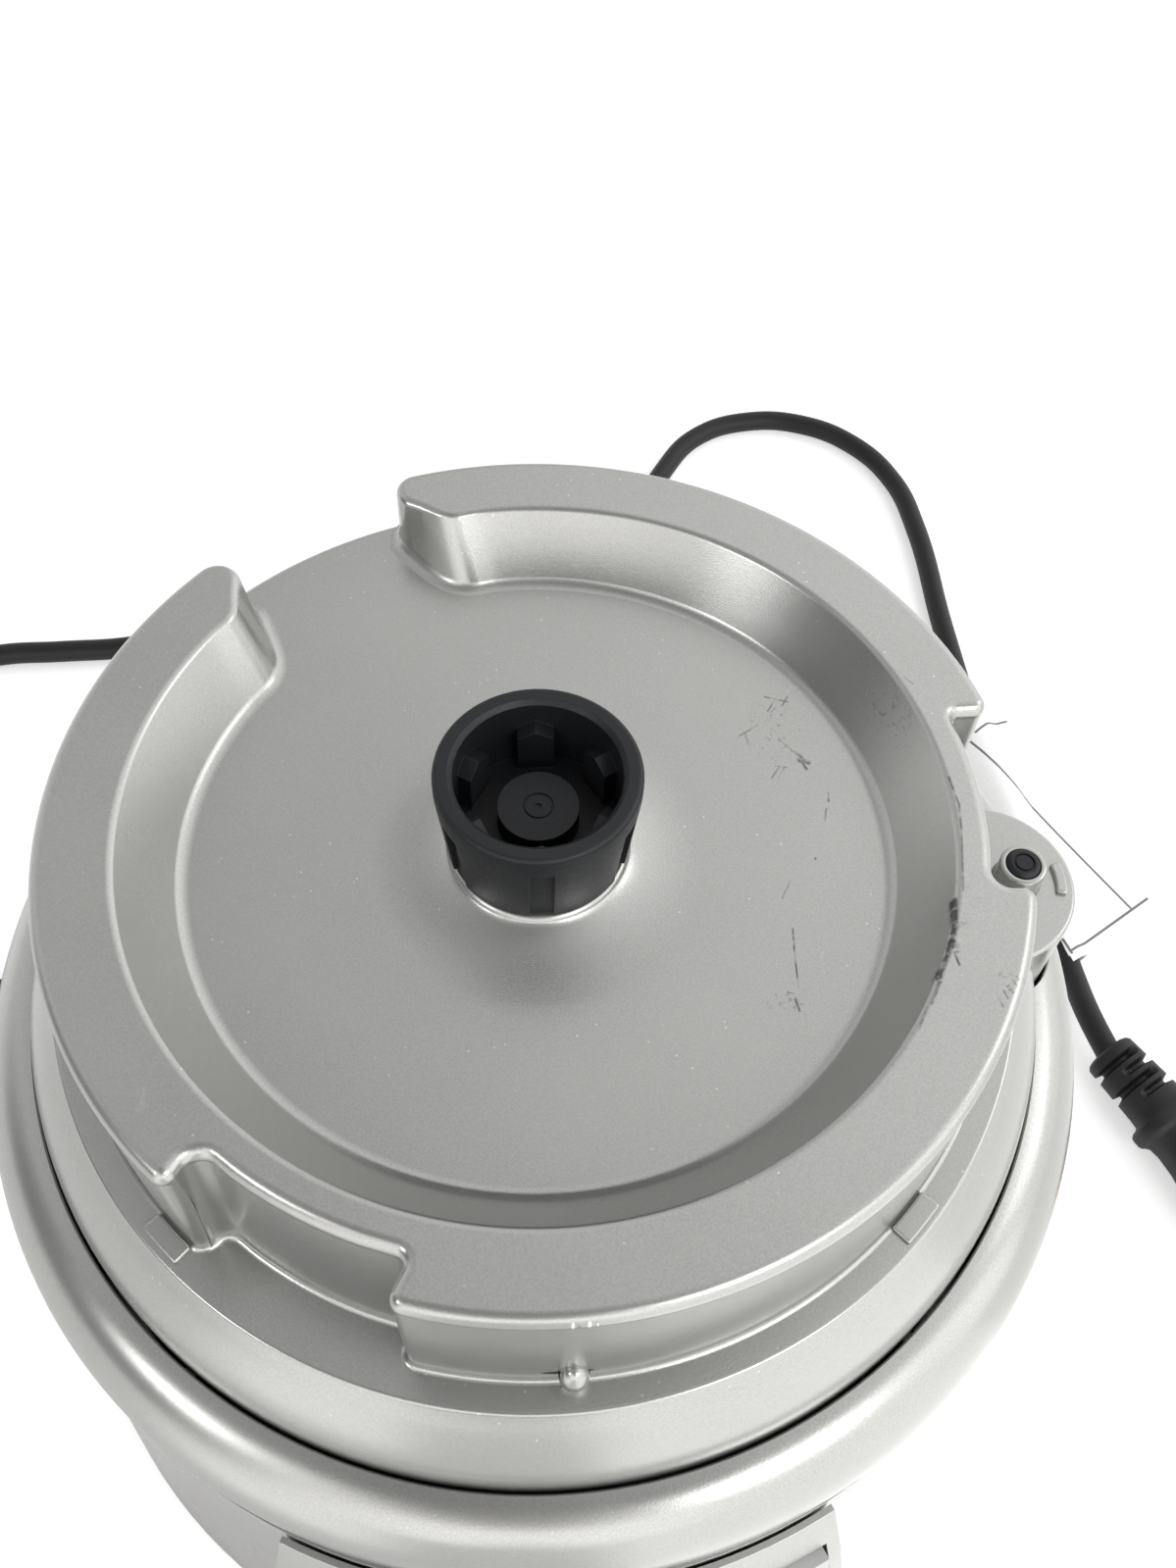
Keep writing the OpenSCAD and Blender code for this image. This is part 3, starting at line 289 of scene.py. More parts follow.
looks = {
    "silver_plastic": silver,
    "dark_plastic": mouldedLook("satinBlack", (0.008, 0.009, 0.011), 0.46, 1400, 0.16, **dull),
    "face_plastic": mouldedLook("panelGrey", (0.40, 0.40, 0.40), 0.18, 1800, 0.03),
    "lens_plastic": mouldedLook("redLens", (0.45, 0.03, 0.02), 0.15, 600, 0.02),
    "key_plastic": mouldedLook("keyGrey", (0.42, 0.43, 0.43), 0.40, 1600, 0.06),
    "base_plastic": mouldedLook("baseGrey", (0.05, 0.052, 0.055), 0.55, 900, 0.2),
    "white_plastic": mouldedLook("natural", (0.7, 0.69, 0.64), 0.45),
    "board": mouldedLook("solderMask", (0.03, 0.16, 0.06), 0.25, 400, 0.05),
    "cord_rubber": mouldedLook("cordBlack", (0.009, 0.009, 0.010), 0.5, 1200, 0.14, **dull),
    "soft_rubber": mouldedLook("footRubber", (0.03, 0.03, 0.031), 0.75, 700, 0.25),
    "belt_rubber": mouldedLook("beltRubber", (0.025, 0.025, 0.025), 0.7, 500, 0.3),
    "ground_steel": metalLook("groundSteel", (0.58, 0.58, 0.57), 0.25),
    "zinc_steel": metalLook("zincPlate", (0.55, 0.55, 0.5), 0.34, (1, 1, 1)),
    "cast_alloy": metalLook("castAlloy", (0.52, 0.53, 0.54), 0.5, (1, 1, 1), 0.3),
    "core_steel": metalLook("coreSteel", (0.30, 0.31, 0.32), 0.45, (1, 1, 14), 0.4),
    "copper_wire": metalLook("enamelWire", (0.62, 0.26, 0.10), 0.3, (1, 1, 20), 0.5),
    "blade_brass": metalLook("bladeBrass", (0.66, 0.5, 0.24), 0.25, (1, 10, 1)),
    "carbon": mouldedLook("carbon", (0.03, 0.03, 0.03), 0.6, 900, 0.2),
    "tag_paper": paperLook("tagPaper"),
}
slotOf = {part["node"]: part["material_slot"] for part in frame["record"]["subparts"]}
print("materials ready")


# Scales a bmesh from millimetres, shades it smooth with sharp edges kept, and makes it a piece of the object
def finishPiece(bm, name, material, body="base", standsFor=(), sharp=42, weighted=True):
    bmesh.ops.scale(bm, vec=(mm, mm, mm), verts=bm.verts)
    for face in bm.faces:
        face.smooth = True
    for edge in bm.edges:
        edge.smooth = not (len(edge.link_faces) == 2 and edge.calc_face_angle(0) > math.radians(sharp))
    mesh = bpy.data.meshes.new(name)
    bm.to_mesh(mesh)
    bm.free()
    mesh.materials.append(material)
    piece = bpy.data.objects.new(name, mesh)
    bpy.context.scene.collection.objects.link(piece)
    if weighted:
        normals = piece.modifiers.new("weightedNormals", "WEIGHTED_NORMAL")
        normals.keep_sharp = True
        normals.weight = 60
    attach(piece, body)
    if standsFor:
        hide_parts(*standsFor)
    return piece


# Turns a profile of (radius, height) about the upright axis
def spinProfile(bm, profile, steps=180, closed=True, centre=(0, 0)):
    verts = [bm.verts.new((centre[0] + r, centre[1], z)) for r, z in profile]
    pairs = list(zip(verts, verts[1:])) + ([(verts[-1], verts[0])] if closed else [])
    edges = [bm.edges.new(pair) for pair in pairs]
    bmesh.ops.spin(bm, geom=verts + edges, cent=(*centre, 0), axis=(0, 0, 1), angle=2 * math.pi, steps=steps,
                   use_merge=True)


# A ring of edges through points, to be drawn out step by step
def startRing(bm, points):
    ring = [bm.verts.new(p) for p in points]
    for a, b in zip(ring, ring[1:] + ring[:1]):
        bm.edges.new((a, b))
    return ring


def drawOut(bm, ring, points, closed=True):
    last = ring[1:] + ring[:1] if closed else ring[1:]
    edges = [bm.edges.get(pair) for pair in zip(ring, last)]
    made = bmesh.ops.extrude_edge_only(bm, edges=edges)["geom"]
    fresh = {v for v in made if isinstance(v, bmesh.types.BMVert)}
    ring = [next(e.other_vert(v) for e in v.link_edges if e.other_vert(v) in fresh) for v in ring]
    for vert, point in zip(ring, points):
        vert.co = point
    return ring


def capRing(bm, ring):
    edges = [bm.edges.get(pair) for pair in zip(ring, ring[1:] + ring[:1])]
    bmesh.ops.contextual_create(bm, geom=edges)


# The arc that rounds one corner of a plan
def cornerArc(before, corner, after, radius, steps=7):
    a, b = (before - corner).normalized(), (after - corner).normalized()
    half = a.angle(b) / 2
    centre = corner + (a + b).normalized() * radius / math.sin(half)
    first, last = corner + a * radius / math.tan(half) - centre, corner + b * radius / math.tan(half) - centre
    start = math.atan2(first.y, first.x)
    turn = (math.atan2(last.y, last.x) - start + math.pi) % (2 * math.pi) - math.pi
    return [centre + Vector((math.cos(start + turn * i / steps), math.sin(start + turn * i / steps))) * radius
            for i in range(steps + 1)]


# A run of plan points whose corners (x, y, radius) are rounded; its two ends stay as they are
def roundedRun(corners):
    spots = [Vector(c[:2]) for c in corners]
    run = [spots[0]]
    for i in range(1, len(corners) - 1):
        run += cornerArc(spots[i - 1], spots[i], spots[i + 1], corners[i][2])
    return run + [spots[-1]]


def circleRun(r, start, end, count):
    return [polar(r, start + (end - start) * i / count) for i in range(1, count)]


# ---- rim of the bowl seat: one upright wall with two bayonet notches, open at the chute gap
rim = {"outer": 80, "inner": 67.3, "innerFoot": 59, "top": 168, "floor": 156, "ledge": 136, "edge": 2.0,
       "innerEdge": 1.6, "fillet": 2.8, "wall": 1.4, "low": 135, "under": 153.4,
       "side": [(0, 165.4), (-0.12, 165.15), (-0.15, 164.8), (-0.15, 158), (-0.15, 150), (-0.15, 143), (-0.15, 137.3),
                (0, 136.6), (0.3, 136.2), (0.75, 136.06), (0.95, 135)]}
notch = {"directions": (-118.5, 1.5), "sides": (-18.6, 15.7), "back": (72.7, 74.7), "convex": 2.2, "concave": (3.0, 1.5)}
gap = {"centre": 121.25,
       "top": [(80, 103.9, 0), (80.2, 108.3, 4.2), (73.9, 108.3, 3.6), (70.2, 105.0, 20), (67.1, 102.6, 6), (67.3, 98, 0)],
       "foot": [(80, 104.2, 0), (80.3, 108.8, 5), (71.5, 108.4, 14), (64, 106, 18), (58.6, 102, 8), (59, 96, 0)]}


def polarRun(corners, mirrored=False):
    turned = [(*polar(r, 2 * gap["centre"] - a if mirrored else a), q) for r, a, q in corners]
    return roundedRun(turned[::-1] if mirrored else turned)


def notchRun(direction, back):
    low, high = notch["sides"]
    outer = rim["outer"]
    corners = [(*polar(outer, math.degrees(math.asin(low / outer)) - 3.6), 0),
               (math.sqrt(outer ** 2 - low ** 2), low, notch["convex"]),
               (math.sqrt(back ** 2 - low ** 2), low, notch["concave"][0])]
    start, end = (math.degrees(math.asin(side / back)) for side in (low, high))
    corners += [(*polar(back, start + (end - start) * i / 10), 25) for i in range(2, 9)]
    corners += [(math.sqrt(back ** 2 - high ** 2), high, notch["concave"][1]),
                (math.sqrt(outer ** 2 - high ** 2), high, notch["convex"]),
                (*polar(outer, math.degrees(math.asin(high / outer)) + 3.6), 0)]
    turn = Matrix.Rotation(math.radians(direction), 2)
    return [turn @ point for point in roundedRun(corners)]


def rimPlan(level):
    end = gap[level]
    innerEnd = end[-1][1]
    back = notch["back"][0 if level == "top" else 1]
    inner = rim["inner"] if level == "top" else rim["innerFoot"]
    plan = polarRun(end)
    plan += circleRun(inner, innerEnd, 2 * gap["centre"] - innerEnd - 360, 150)
    plan += polarRun(end, mirrored=True)
    at = 2 * gap["centre"] - end[0][1] - 360
    for direction in notch["directions"]:
        run = notchRun(direction, back)
        reach = math.degrees(math.asin(notch["sides"][0] / rim["outer"])) - 3.6
        plan += circleRun(rim["outer"], at, direction + reach, 50) + run
        at = direction + math.degrees(math.asin(notch["sides"][1] / rim["outer"])) + 3.6
    return plan + circleRun(rim["outer"], at, end[0][1], 52)


def planNormals(plan):
    normals = []
    for i, point in enumerate(plan):
        along = (plan[(i + 1) % len(plan)] - point).normalized() + (point - plan[i - 1]).normalized()
        normals.append(Vector((along.y, -along.x)).normalized())
    return normals


def smoothed(values, reach):
    n = len(values)
    return [sum(values[(i + k) % n] for k in range(-reach, reach + 1)) / (2 * reach + 1) for i in range(n)]


# Round a bend of a wall section at (distance, height); ahead and behind are unit directions away from it
def bend(at, behind, ahead, radius, steps):
    arc = cornerArc(Vector(at) + Vector(behind), Vector(at), Vector(at) + Vector(ahead), max(radius, 0.02), steps)
    return [(p.x, p.y) for p in arc]


def buildRim():
    top, foot = rimPlan("top"), rimPlan("foot")
    topNormals, footNormals = planNormals(top), planNormals(foot)
    outside = [p.length > rim["outer"] - 0.6 for p in top]
    # notch walls count as outside too: they lie away from the gap
    for i, point in enumerate(top):
        angle = math.degrees(math.atan2(point.y, point.x))
        if point.length > 70.5 and not 102 < angle < 140.5:
            outside[i] = True
    edgeRadius = smoothed([rim["edge"] if o else rim["innerEdge"] for o in outside], 2)
    fillets = smoothed([0.0 if o or p.length > 77.5 else rim["fillet"] for o, p in zip(outside, foot)], 3)
    steps = 6
    sections = []
    for i, (a, b) in enumerate(zip(top, foot)):
        normal = (topNormals[i] + footNormals[i]).normalized()
        low = rim["ledge"] if outside[i] else rim["floor"]
        lean = (b - a).dot(normal)
        wallDown = Vector((lean, low - rim["top"])).normalized()
        spots = bend((0, rim["top"]), (-1, 0), wallDown, edgeRadius[i], steps)
        if outside[i]:
            for out, z in rim["side"]:
                spots.append((lean * (rim["top"] - z) / (rim["top"] - low) + out, z))
            spots += [(lean - rim["wall"], rim["low"]), (lean - rim["wall"], rim["under"])]
        else:
            spots += bend((lean, rim["floor"] + 0.004), -wallDown, (1, 0), fillets[i], len(rim["side"]) - 1)
            spots += [(spots[-1][0], rim["floor"] - 1), (spots[-1][0], rim["under"])]
        section = []
        for d, z in spots:
            t = (rim["top"] - z) / (rim["top"] - low)
            t = min(max(t, 0), 1) if not outside[i] else t
            across = topNormals[i].lerp(footNormals[i], min(max(t, 0), 1)).normalized()
            plan = a.lerp(b, t) + across * (d - t * lean)
            section.append(Vector((plan.x, plan.y, z)))
        sections.append(section)
    bm = bmesh.new()
    ring = startRing(bm, [s[0] for s in sections])
    capRing(bm, ring)
    for level in range(1, len(sections[0])):
        ring = drawOut(bm, ring, [s[level] for s in sections])
    capRing(bm, ring)
    bmesh.ops.recalc_face_normals(bm, faces=bm.faces)
    return finishPiece(bm, "coverRim", coverSilver, standsFor=["top_cover"], sharp=50)


# ---- dish floor with the neck round the spindle and the lip at the chute gap
floor = {"neck": [(11, 153.6), (11, 159.2), (14.3, 159.2), (14.8, 158.95), (15.1, 158.5), (15.4, 158.1)],
         "flareEnd": 28, "flareHold": 19.5, "split": 62, "lip": 79.9, "lipRound": 1.9, "sector": (102, 140.5)}


def curve3(a, b, c, steps):
    return [tuple((1 - t) ** 2 * p + 2 * t * (1 - t) * q + t * t * r for p, q, r in zip(a, b, c))
            for t in (i / steps for i in range(1, steps + 1))]


def buildFloor():
    bm = bmesh.new()
    z = rim["floor"]
    under = floor["neck"][0][1]
    profile = floor["neck"] + curve3(floor["neck"][-1], (floor["flareHold"], z), (floor["flareEnd"], z), 10)
    profile += [(40, z), (52, z), (floor["split"], z), (floor["split"], under)]
    spinProfile(bm, profile, 180)
    bmesh.ops.remove_doubles(bm, verts=bm.verts, dist=1e-4)
    # the lip is drawn out from the edge within the gap's sector
    low, high = floor["sector"]
    bm.verts.ensure_lookup_table()
    edgeVerts = [v for v in bm.verts if abs(math.hypot(v.co.x, v.co.y) - floor["split"]) < 0.01]
    within = [v for v in edgeVerts if low < math.degrees(math.atan2(v.co.y, v.co.x)) < high]
    walls = [f for f in bm.faces if all(v in within for v in f.verts)]
    bmesh.ops.delete(bm, geom=walls, context="FACES")
    chain = sorted((v for v in within if v.co.z > z - 0.1), key=lambda v: math.atan2(v.co.y, v.co.x))
    r, q = floor["lip"], floor["lipRound"]
    path = [(r - 8, z), (r - q, z)]
    path += [(r - q + q * math.sin(a), z - q + q * math.cos(a)) for a in (math.radians(15 * i) for i in range(1, 7))]
    path += [(r, 145), (r, rim["low"]), (r - 2.4, rim["low"]), (r - 2.4, under), (floor["split"], under)]
    angles = [math.degrees(math.atan2(v.co.y, v.co.x)) for v in chain]
    for radius, height in path:
        chain = drawOut(bm, chain, [(*polar(radius, a), height) for a in angles], closed=False)
    bmesh.ops.remove_doubles(bm, verts=bm.verts, dist=1e-3)
    bmesh.ops.holes_fill(bm, edges=[e for e in bm.edges if e.is_boundary])
    bmesh.ops.recalc_face_normals(bm, faces=bm.faces)
    return finishPiece(bm, "coverFloor", coverSilver, standsFor=["top_cover"], sharp=50)


# ---- ledge, the convex band under it and the interlock boss that stands out of both
ledge = {"edge": 85.1, "round": 0.8, "seam": 92.1, "seamTop": 118.4, "low": 110.4, "inner": 70.5, "bulge": (92.1, 127.2)}
boss = {"out": 81.8, "radius": 16.2, "angle": 1.5, "relief": 0.6}
plunger = {"out": 87.2, "bore": 3.07, "collar": 4.2, "collarTop": 141.6}


def bossOutline(band, round_, z, count=176, arc=44):
    d, turn = boss["out"], boss["angle"]
    alpha = math.acos((band ** 2 + d ** 2 - round_ ** 2) / (2 * band * d))
    beta = math.acos((band * math.cos(alpha) - d) / round_)
    points = [polar(band, turn + math.degrees(alpha) + (360 - 2 * math.degrees(alpha)) * i / count)
              for i in range(count + 1)]
    centre = polar(d, turn)
    points += [centre + polar(round_, turn - math.degrees(beta) + 2 * math.degrees(beta) * i / arc)
               for i in range(1, arc)]
    return [Vector((p.x, p.y, z)) for p in points]


def buildLedge():
    bm = bmesh.new()
    q, z = ledge["round"], rim["ledge"]
    path = [(ledge["edge"] - q + q * math.sin(a), boss["radius"] - q + q * math.sin(a), z - q + q * math.cos(a))
            for a in (math.radians(90 * i / 5) for i in range(6))]
    side = curve3((ledge["edge"], z - q), ledge["bulge"], (ledge["seam"], ledge["seamTop"]), 10)
    path += [(r, boss["radius"], h) for r, h in side] + [(ledge["seam"], boss["radius"], ledge["low"])]
    inside = [(r - 2.4, boss["radius"] - 2.4, h) for r, h in side[::-1]]
    path += [(ledge["seam"] - 2.4, boss["radius"] - 2.4, ledge["low"])] + inside
    path += [(ledge["edge"] - 2.6, boss["radius"] - 2.4, z - 2.4)]
    rings = [bossOutline(*level) for level in path]
    ring = startRing(bm, rings[0])
    topRing = ring
    for points in rings[1:]:
        ring = drawOut(bm, ring, points)
    lowRing = ring
    at = polar(plunger["out"], boss["angle"])
    for r, centre, steps in ((ledge["inner"], Vector((0, 0)), 120), (plunger["bore"], at, 32)):
        circle = [centre + polar(r, 360 * i / steps) for i in range(steps)]
        upper = startRing(bm, [(p.x, p.y, z) for p in circle])
        lower = drawOut(bm, upper, [(p.x, p.y, z - 2.4) for p in circle])
        if r == ledge["inner"]:
            wide = (upper, lower)
        else:
            small = (upper, lower)
    for outerRing, holes in ((topRing, (wide[0], small[0])), (lowRing, (wide[1], small[1]))):
        edges = []
        for loop in (outerRing, *holes):
            edges += [bm.edges.get(pair) for pair in zip(loop, loop[1:] + loop[:1])]
        bmesh.ops.triangle_fill(bm, edges=edges, use_beauty=True)
    bmesh.ops.recalc_face_normals(bm, faces=bm.faces)
    return finishPiece(bm, "coverLedge", coverSilver, standsFor=["top_cover"], sharp=38)


def buildCollar():
    bm = bmesh.new()
    low, high, r, bore = rim["ledge"] - 1, plunger["collarTop"], plunger["collar"], plunger["bore"]
    profile = [(bore, low), (bore, high - 0.35), (bore + 0.2, high - 0.05), (bore + 0.5, high), (r - 0.5, high),
               (r - 0.15, high - 0.15), (r, high - 0.5), (r, rim["ledge"] + 0.5), (r + 0.4, rim["ledge"] + 0.003),
               (r + 0.4, low)]
    spinProfile(bm, profile, 48, centre=polar(plunger["out"], boss["angle"]))
    bmesh.ops.remove_doubles(bm, verts=bm.verts, dist=1e-4)
    bmesh.ops.recalc_face_normals(bm, faces=bm.faces)
    return finishPiece(bm, "plungerCollar", coverSilver, standsFor=["top_cover"])


# ---- low pads on the ledge, the bar on the boss and the pip: reach and angle of each, and how high it stands
pads = {
    "ledgePadRight": {"centre": (0, 0), "reach": (80.4, 83.9), "angles": (-48.4, -42.6), "rise": 0.85},
    "ledgePadLeft": {"centre": (0, 0), "reach": (80.4, 83.7), "angles": (-139.5, -133.9), "rise": 0.85},
    "bossBar": {"centre": (81.77, 2.14), "reach": (12.5, 14.5), "angles": (-14.0, 13.0), "rise": 0.9},
}
pip = {"angle": -88.4, "out": 80.1, "height": 139.3, "half": (2.35, 2.3, 3.7)}


def buildPads():
    for name, pad in pads.items():
        bm = bmesh.new()
        (near, far), (start, end) = pad["reach"], pad["angles"]
        centre = Vector(pad["centre"])
        spots = [centre + polar(far, start + (end - start) * i / 8) for i in range(9)]
        spots += [centre + polar(near, end + (start - end) * i / 8) for i in range(9)]
        ring = startRing(bm, [(p.x, p.y, rim["ledge"] - 0.8) for p in spots])
        capRing(bm, ring)
        ring = drawOut(bm, ring, [(p.x, p.y, rim["ledge"] + pad["rise"]) for p in spots])
        capRing(bm, ring)
        bmesh.ops.recalc_face_normals(bm, faces=bm.faces)
        edges = [e for e in bm.edges if max(v.co.z for v in e.verts) > rim["ledge"] and e.calc_face_angle(0) > 0.6]
        bmesh.ops.bevel(bm, geom=edges, offset=0.42, affect="EDGES", segments=3, profile=0.5, material=-1)
        finishPiece(bm, name, coverSilver, standsFor=["top_cover"], sharp=60)


def buildPip():
    bm = bmesh.new()
    bmesh.ops.create_uvsphere(bm, u_segments=32, v_segments=20, radius=1)
    bmesh.ops.scale(bm, vec=pip["half"], verts=bm.verts)
    bmesh.ops.translate(bm, vec=(*polar(pip["out"], pip["angle"]), pip["height"]), verts=bm.verts)
    finishPiece(bm, "spigotPip", coverSilver, standsFor=["top_cover"])


# ---- shoulder ring, relieved round the boss
shoulder = {"centre": (92.0, 104.2), "half": (11.4, 14.0), "seam": 92.7, "lowWall": 112,
            "under": [(103.35, 102.2), (103.1, 99.6), (102.5, 96.6), (101.8, 94.1), (101.3, 93.3), (100.6, 93.0),
                      (98.4, 93.0), (98.4, 96), (100.4, 104.2)]}


def buildShoulder():
    relief = boss["radius"] + boss["relief"]
    d = boss["out"]
    crease = math.degrees(math.acos((shoulder["seam"] ** 2 + d * d - relief ** 2) / (2 * shoulder["seam"] * d)))
    angles = [-crease + 2 * crease * i / 24 for i in range(24)]
    angles += [crease + (360 - 2 * crease) * i / 172 for i in range(172)]
    cx, cz = shoulder["centre"]
    hx, hz = shoulder["half"]
    sections = []
    for angle in angles:
        inner = shoulder["seam"]
        if abs(angle) <= crease + 1e-6:
            across = d * math.sin(math.radians(angle))
            inner = max(inner, d * math.cos(math.radians(angle)) + math.sqrt(relief ** 2 - across ** 2))
        start = math.acos((inner + 0.3 - cx) / hx)
        spots = [(inner, shoulder["lowWall"]), (inner, cz + hz * math.sin(math.acos((inner - cx) / hx)) - 0.35)]
        for i in range(15):
            turn = start * (1 - i / 14)
            spots.append((cx + hx * math.cos(turn), cz + hz * math.sin(turn)))
        spots += shoulder["under"]
        sections.append([Vector((*polar(r, boss["angle"] + angle), z)) for r, z in spots])
    bm = bmesh.new()
    ring = startRing(bm, [s[0] for s in sections])
    for level in range(1, len(sections[0])):
        ring = drawOut(bm, ring, [s[level] for s in sections])
    drawOut(bm, ring, [s[0] for s in sections])
    bmesh.ops.remove_doubles(bm, verts=bm.verts, dist=1e-4)
    bmesh.ops.recalc_face_normals(bm, faces=bm.faces)
    return finishPiece(bm, "shoulderRing", silver, standsFor=["shoulder_ring"])


buildRim()
buildFloor()
buildLedge()
buildCollar()
buildPads()
buildPip()
buildShoulder()
print("cover and shoulder modelled")


# Copies a node's mesh, joins its loose triangles into clean faces and rounds its sharp edges
def dressNode(node, name, width=0.5, segments=2, limit=32, sharp=32, shift=None):
    source = nodes[node]
    bm = bmesh.new()
    bm.from_mesh(source.data)
    bmesh.ops.remove_doubles(bm, verts=bm.verts, dist=2e-6)
    bmesh.ops.dissolve_limit(bm, angle_limit=math.radians(1.0), use_dissolve_boundaries=False, verts=bm.verts,
                             edges=bm.edges)
    bmesh.ops.scale(bm, vec=(1 / mm,) * 3, verts=bm.verts)
    body = next(b for b, members in frame["record"]["behaviour"]["bodies"].items() if node in members)
    if shift:
        bmesh.ops.transform(bm, matrix=shift, verts=bm.verts)
    piece = finishPiece(bm, name, looks[slotOf[node]], body, [node], sharp, False)
    if width:
        bevel = piece.modifiers.new("bevel", "BEVEL")
        bevel.width = width * mm
        bevel.segments = segments
        bevel.limit_method = "ANGLE"
        bevel.angle_limit = math.radians(limit)
        bevel.harden_normals = False
    normals = piece.modifiers.new("weightedNormals", "WEIGHTED_NORMAL")
    normals.keep_sharp = False
    return piece


dressed = {
    "lower_housing": ("lowerHousing", 0.4), "base_plate": ("basePlate", 0.3), "control_panel": ("controlPanel", 0.6),
    "panel_face": ("panelFace", 0.4), "off_key": ("offKey", 0.6), "low_key": ("lowKey", 0.6),
    "pulse_key": ("pulseKey", 0.6), "indicator_lens": ("indicatorLens", 0.2),
    "interlock_plunger": ("interlockPlunger", 0.25), "drive_coupling": ("driveCoupling", 0.35),
    "rubber_feet": ("rubberFeet", 0.5), "interlock_spring": ("interlockSpring", 0),
}
modelled = ("top_cover", "shoulder_ring", "power_cord", "strain_relief", "plug_body", "plug_blades", "cord_tag")
pieces = {node: dressNode(node, name, width) for node, (name, width) in dressed.items()}
for node, thing in nodes.items():
    if node not in dressed and node not in modelled:
        thing.data.materials.clear()
        thing.data.materials.append(looks[slotOf[node]])
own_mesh(pieces["interlock_spring"])
print("node pieces dressed")

# ---- plug, boot and tag
# rows: distance along, half width, half height, squareness; slots: start, end and the side they are cut from
plug = {"place": (150.9, 22.2, 7.8), "turn": -59, "depth": 1.5, "deeper": 1.0, "slots": [
            (3.7, 5.2, -1), (7.1, 8.6, 1), (10.5, 12.0, -1), (13.9, 15.4, 1)],
        "rows": [(0, 3.4, 3.4, 2), (0.1, 5.2, 5.2, 2), (0.5, 6.3, 6.1, 2), (1.3, 6.9, 6.5, 2.1), (3, 7.0, 6.6, 2.1),
                 (17, 7.7, 6.9, 2.2), (19.2, 7.9, 7.0, 2.3), (19.7, 8.6, 7.05, 2.5), (20.0, 9.7, 7.1, 2.8),
                 (20.6, 10.4, 7.3, 3), (21.6, 10.6, 7.4, 3), (23.0, 10.6, 7.4, 3), (23.8, 10.3, 7.2, 3), (24.4, 9.5, 6.9, 3),
                 (25.2, 8.8, 6.6, 3), (28, 8.6, 6.5, 3), (33, 9.2, 6.5, 3.2), (37, 10.2, 6.5, 3.4), (41, 11.7, 6.5, 3.6),
                 (45, 12.6, 6.5, 4), (49.5, 13, 6.5, 4.5), (51.2, 12.8, 6.3, 4.5), (51.8, 12.3, 5.9, 4.5),
                 (52, 11.6, 5.3, 4.5)]}
boot = {"place": (0, 94, 24), "turn": 90, "depth": 1.3, "deeper": 0.0, "slots": [
            (27 + 3.8 * i, 28.5 + 3.8 * i, 1 if i % 2 else -1) for i in range(6)],
        "rows": [(0, 3.5, 3.5, 2), (0.2, 4.7, 4.7, 2), (12.8, 4.7, 4.7, 2), (13, 7.5, 7.5, 2), (17.4, 7.5, 7.5, 2),
                 (17.6, 5, 5, 2), (22.3, 5, 5, 2), (22.4, 6.9, 6.9, 2.2), (23.2, 7.2, 7.2, 2.2), (24.2, 7, 7, 2.2),
                 (25, 6.3, 6.3, 2.1), (48.5, 4.7, 4.7, 2), (50, 4.3, 4.3, 2), (50.5, 3.6, 3.6, 2)]}


# Values of the rows at a distance along them
def rowAt(rows, s):
    for low, high in zip(rows, rows[1:]):
        if s <= high[0]:
            t = (s - low[0]) / (high[0] - low[0])
            return [a + (b - a) * t for a, b in zip(low[1:], high[1:])]
    return rows[-1][1:]


def buildLoft(name, shape, node, sides=56):
    along, across = polar(1, shape["turn"]), polar(1, shape["turn"] + 90)
    levels = {row[0]: 0 for row in shape["rows"]}
    for start, end, side in shape["slots"]:
        for s, share in ((start - 0.35, 0), (start - 0.05, 0.45), (start + 0.3, 1), (end - 0.3, 1), (end + 0.05, 0.45),
                         (end + 0.35, 0)):
            levels[s] = share * side
    bm = bmesh.new()
    ring = None
    for s in sorted(levels):
        half, tall, square = rowAt(shape["rows"], s)
        points = []
        for k in range(sides):
            a = 2 * math.pi * k / sides
            c, v = math.cos(a), math.sin(a)
            cut = abs(levels[s]) * min(max((c * math.copysign(1, levels[s]) + 0.45) / 0.25, 0), 1) * shape["depth"]
            cut += abs(levels[s]) * shape["deeper"] * (abs(v) if cut else 0)
            x = math.copysign(abs(c) ** (2 / square), c) * (half - cut)
            z = math.copysign(abs(v) ** (2 / square), v) * (tall - cut)
            spot = along * s + across * x
            points.append(Vector((spot.x, spot.y, z)) + Vector(shape["place"]))
        if ring is None:
            ring = startRing(bm, points)
            capRing(bm, ring)
        else:
            ring = drawOut(bm, ring, points)
    capRing(bm, ring)
    bmesh.ops.recalc_face_normals(bm, faces=bm.faces)
    return finishPiece(bm, name, looks[slotOf[node]], standsFor=[node], sharp=60)


# A sheet folded round the cord, its two layers stuck together beyond it
tag = {"corners": ((156, 138), (184, 70.5)), "cord": ((138.7, 137), (149.2, 49.5)), "wrap": 3.62, "level": 3.5,
       "droop": 2.3, "gap": 0.16, "sheet": 0.16,
       "over": [(0, 1), (-0.25, 0.93), (-0.5, 0.68), (-0.75, 0.3), (-0.93, 0), (-1, -0.2), (-0.93, -0.4), (-0.75, -0.62),
                (-0.5, -0.83), (-0.2, -0.95), (0.15, -0.97)], "reach": (10.5, 4.2)}


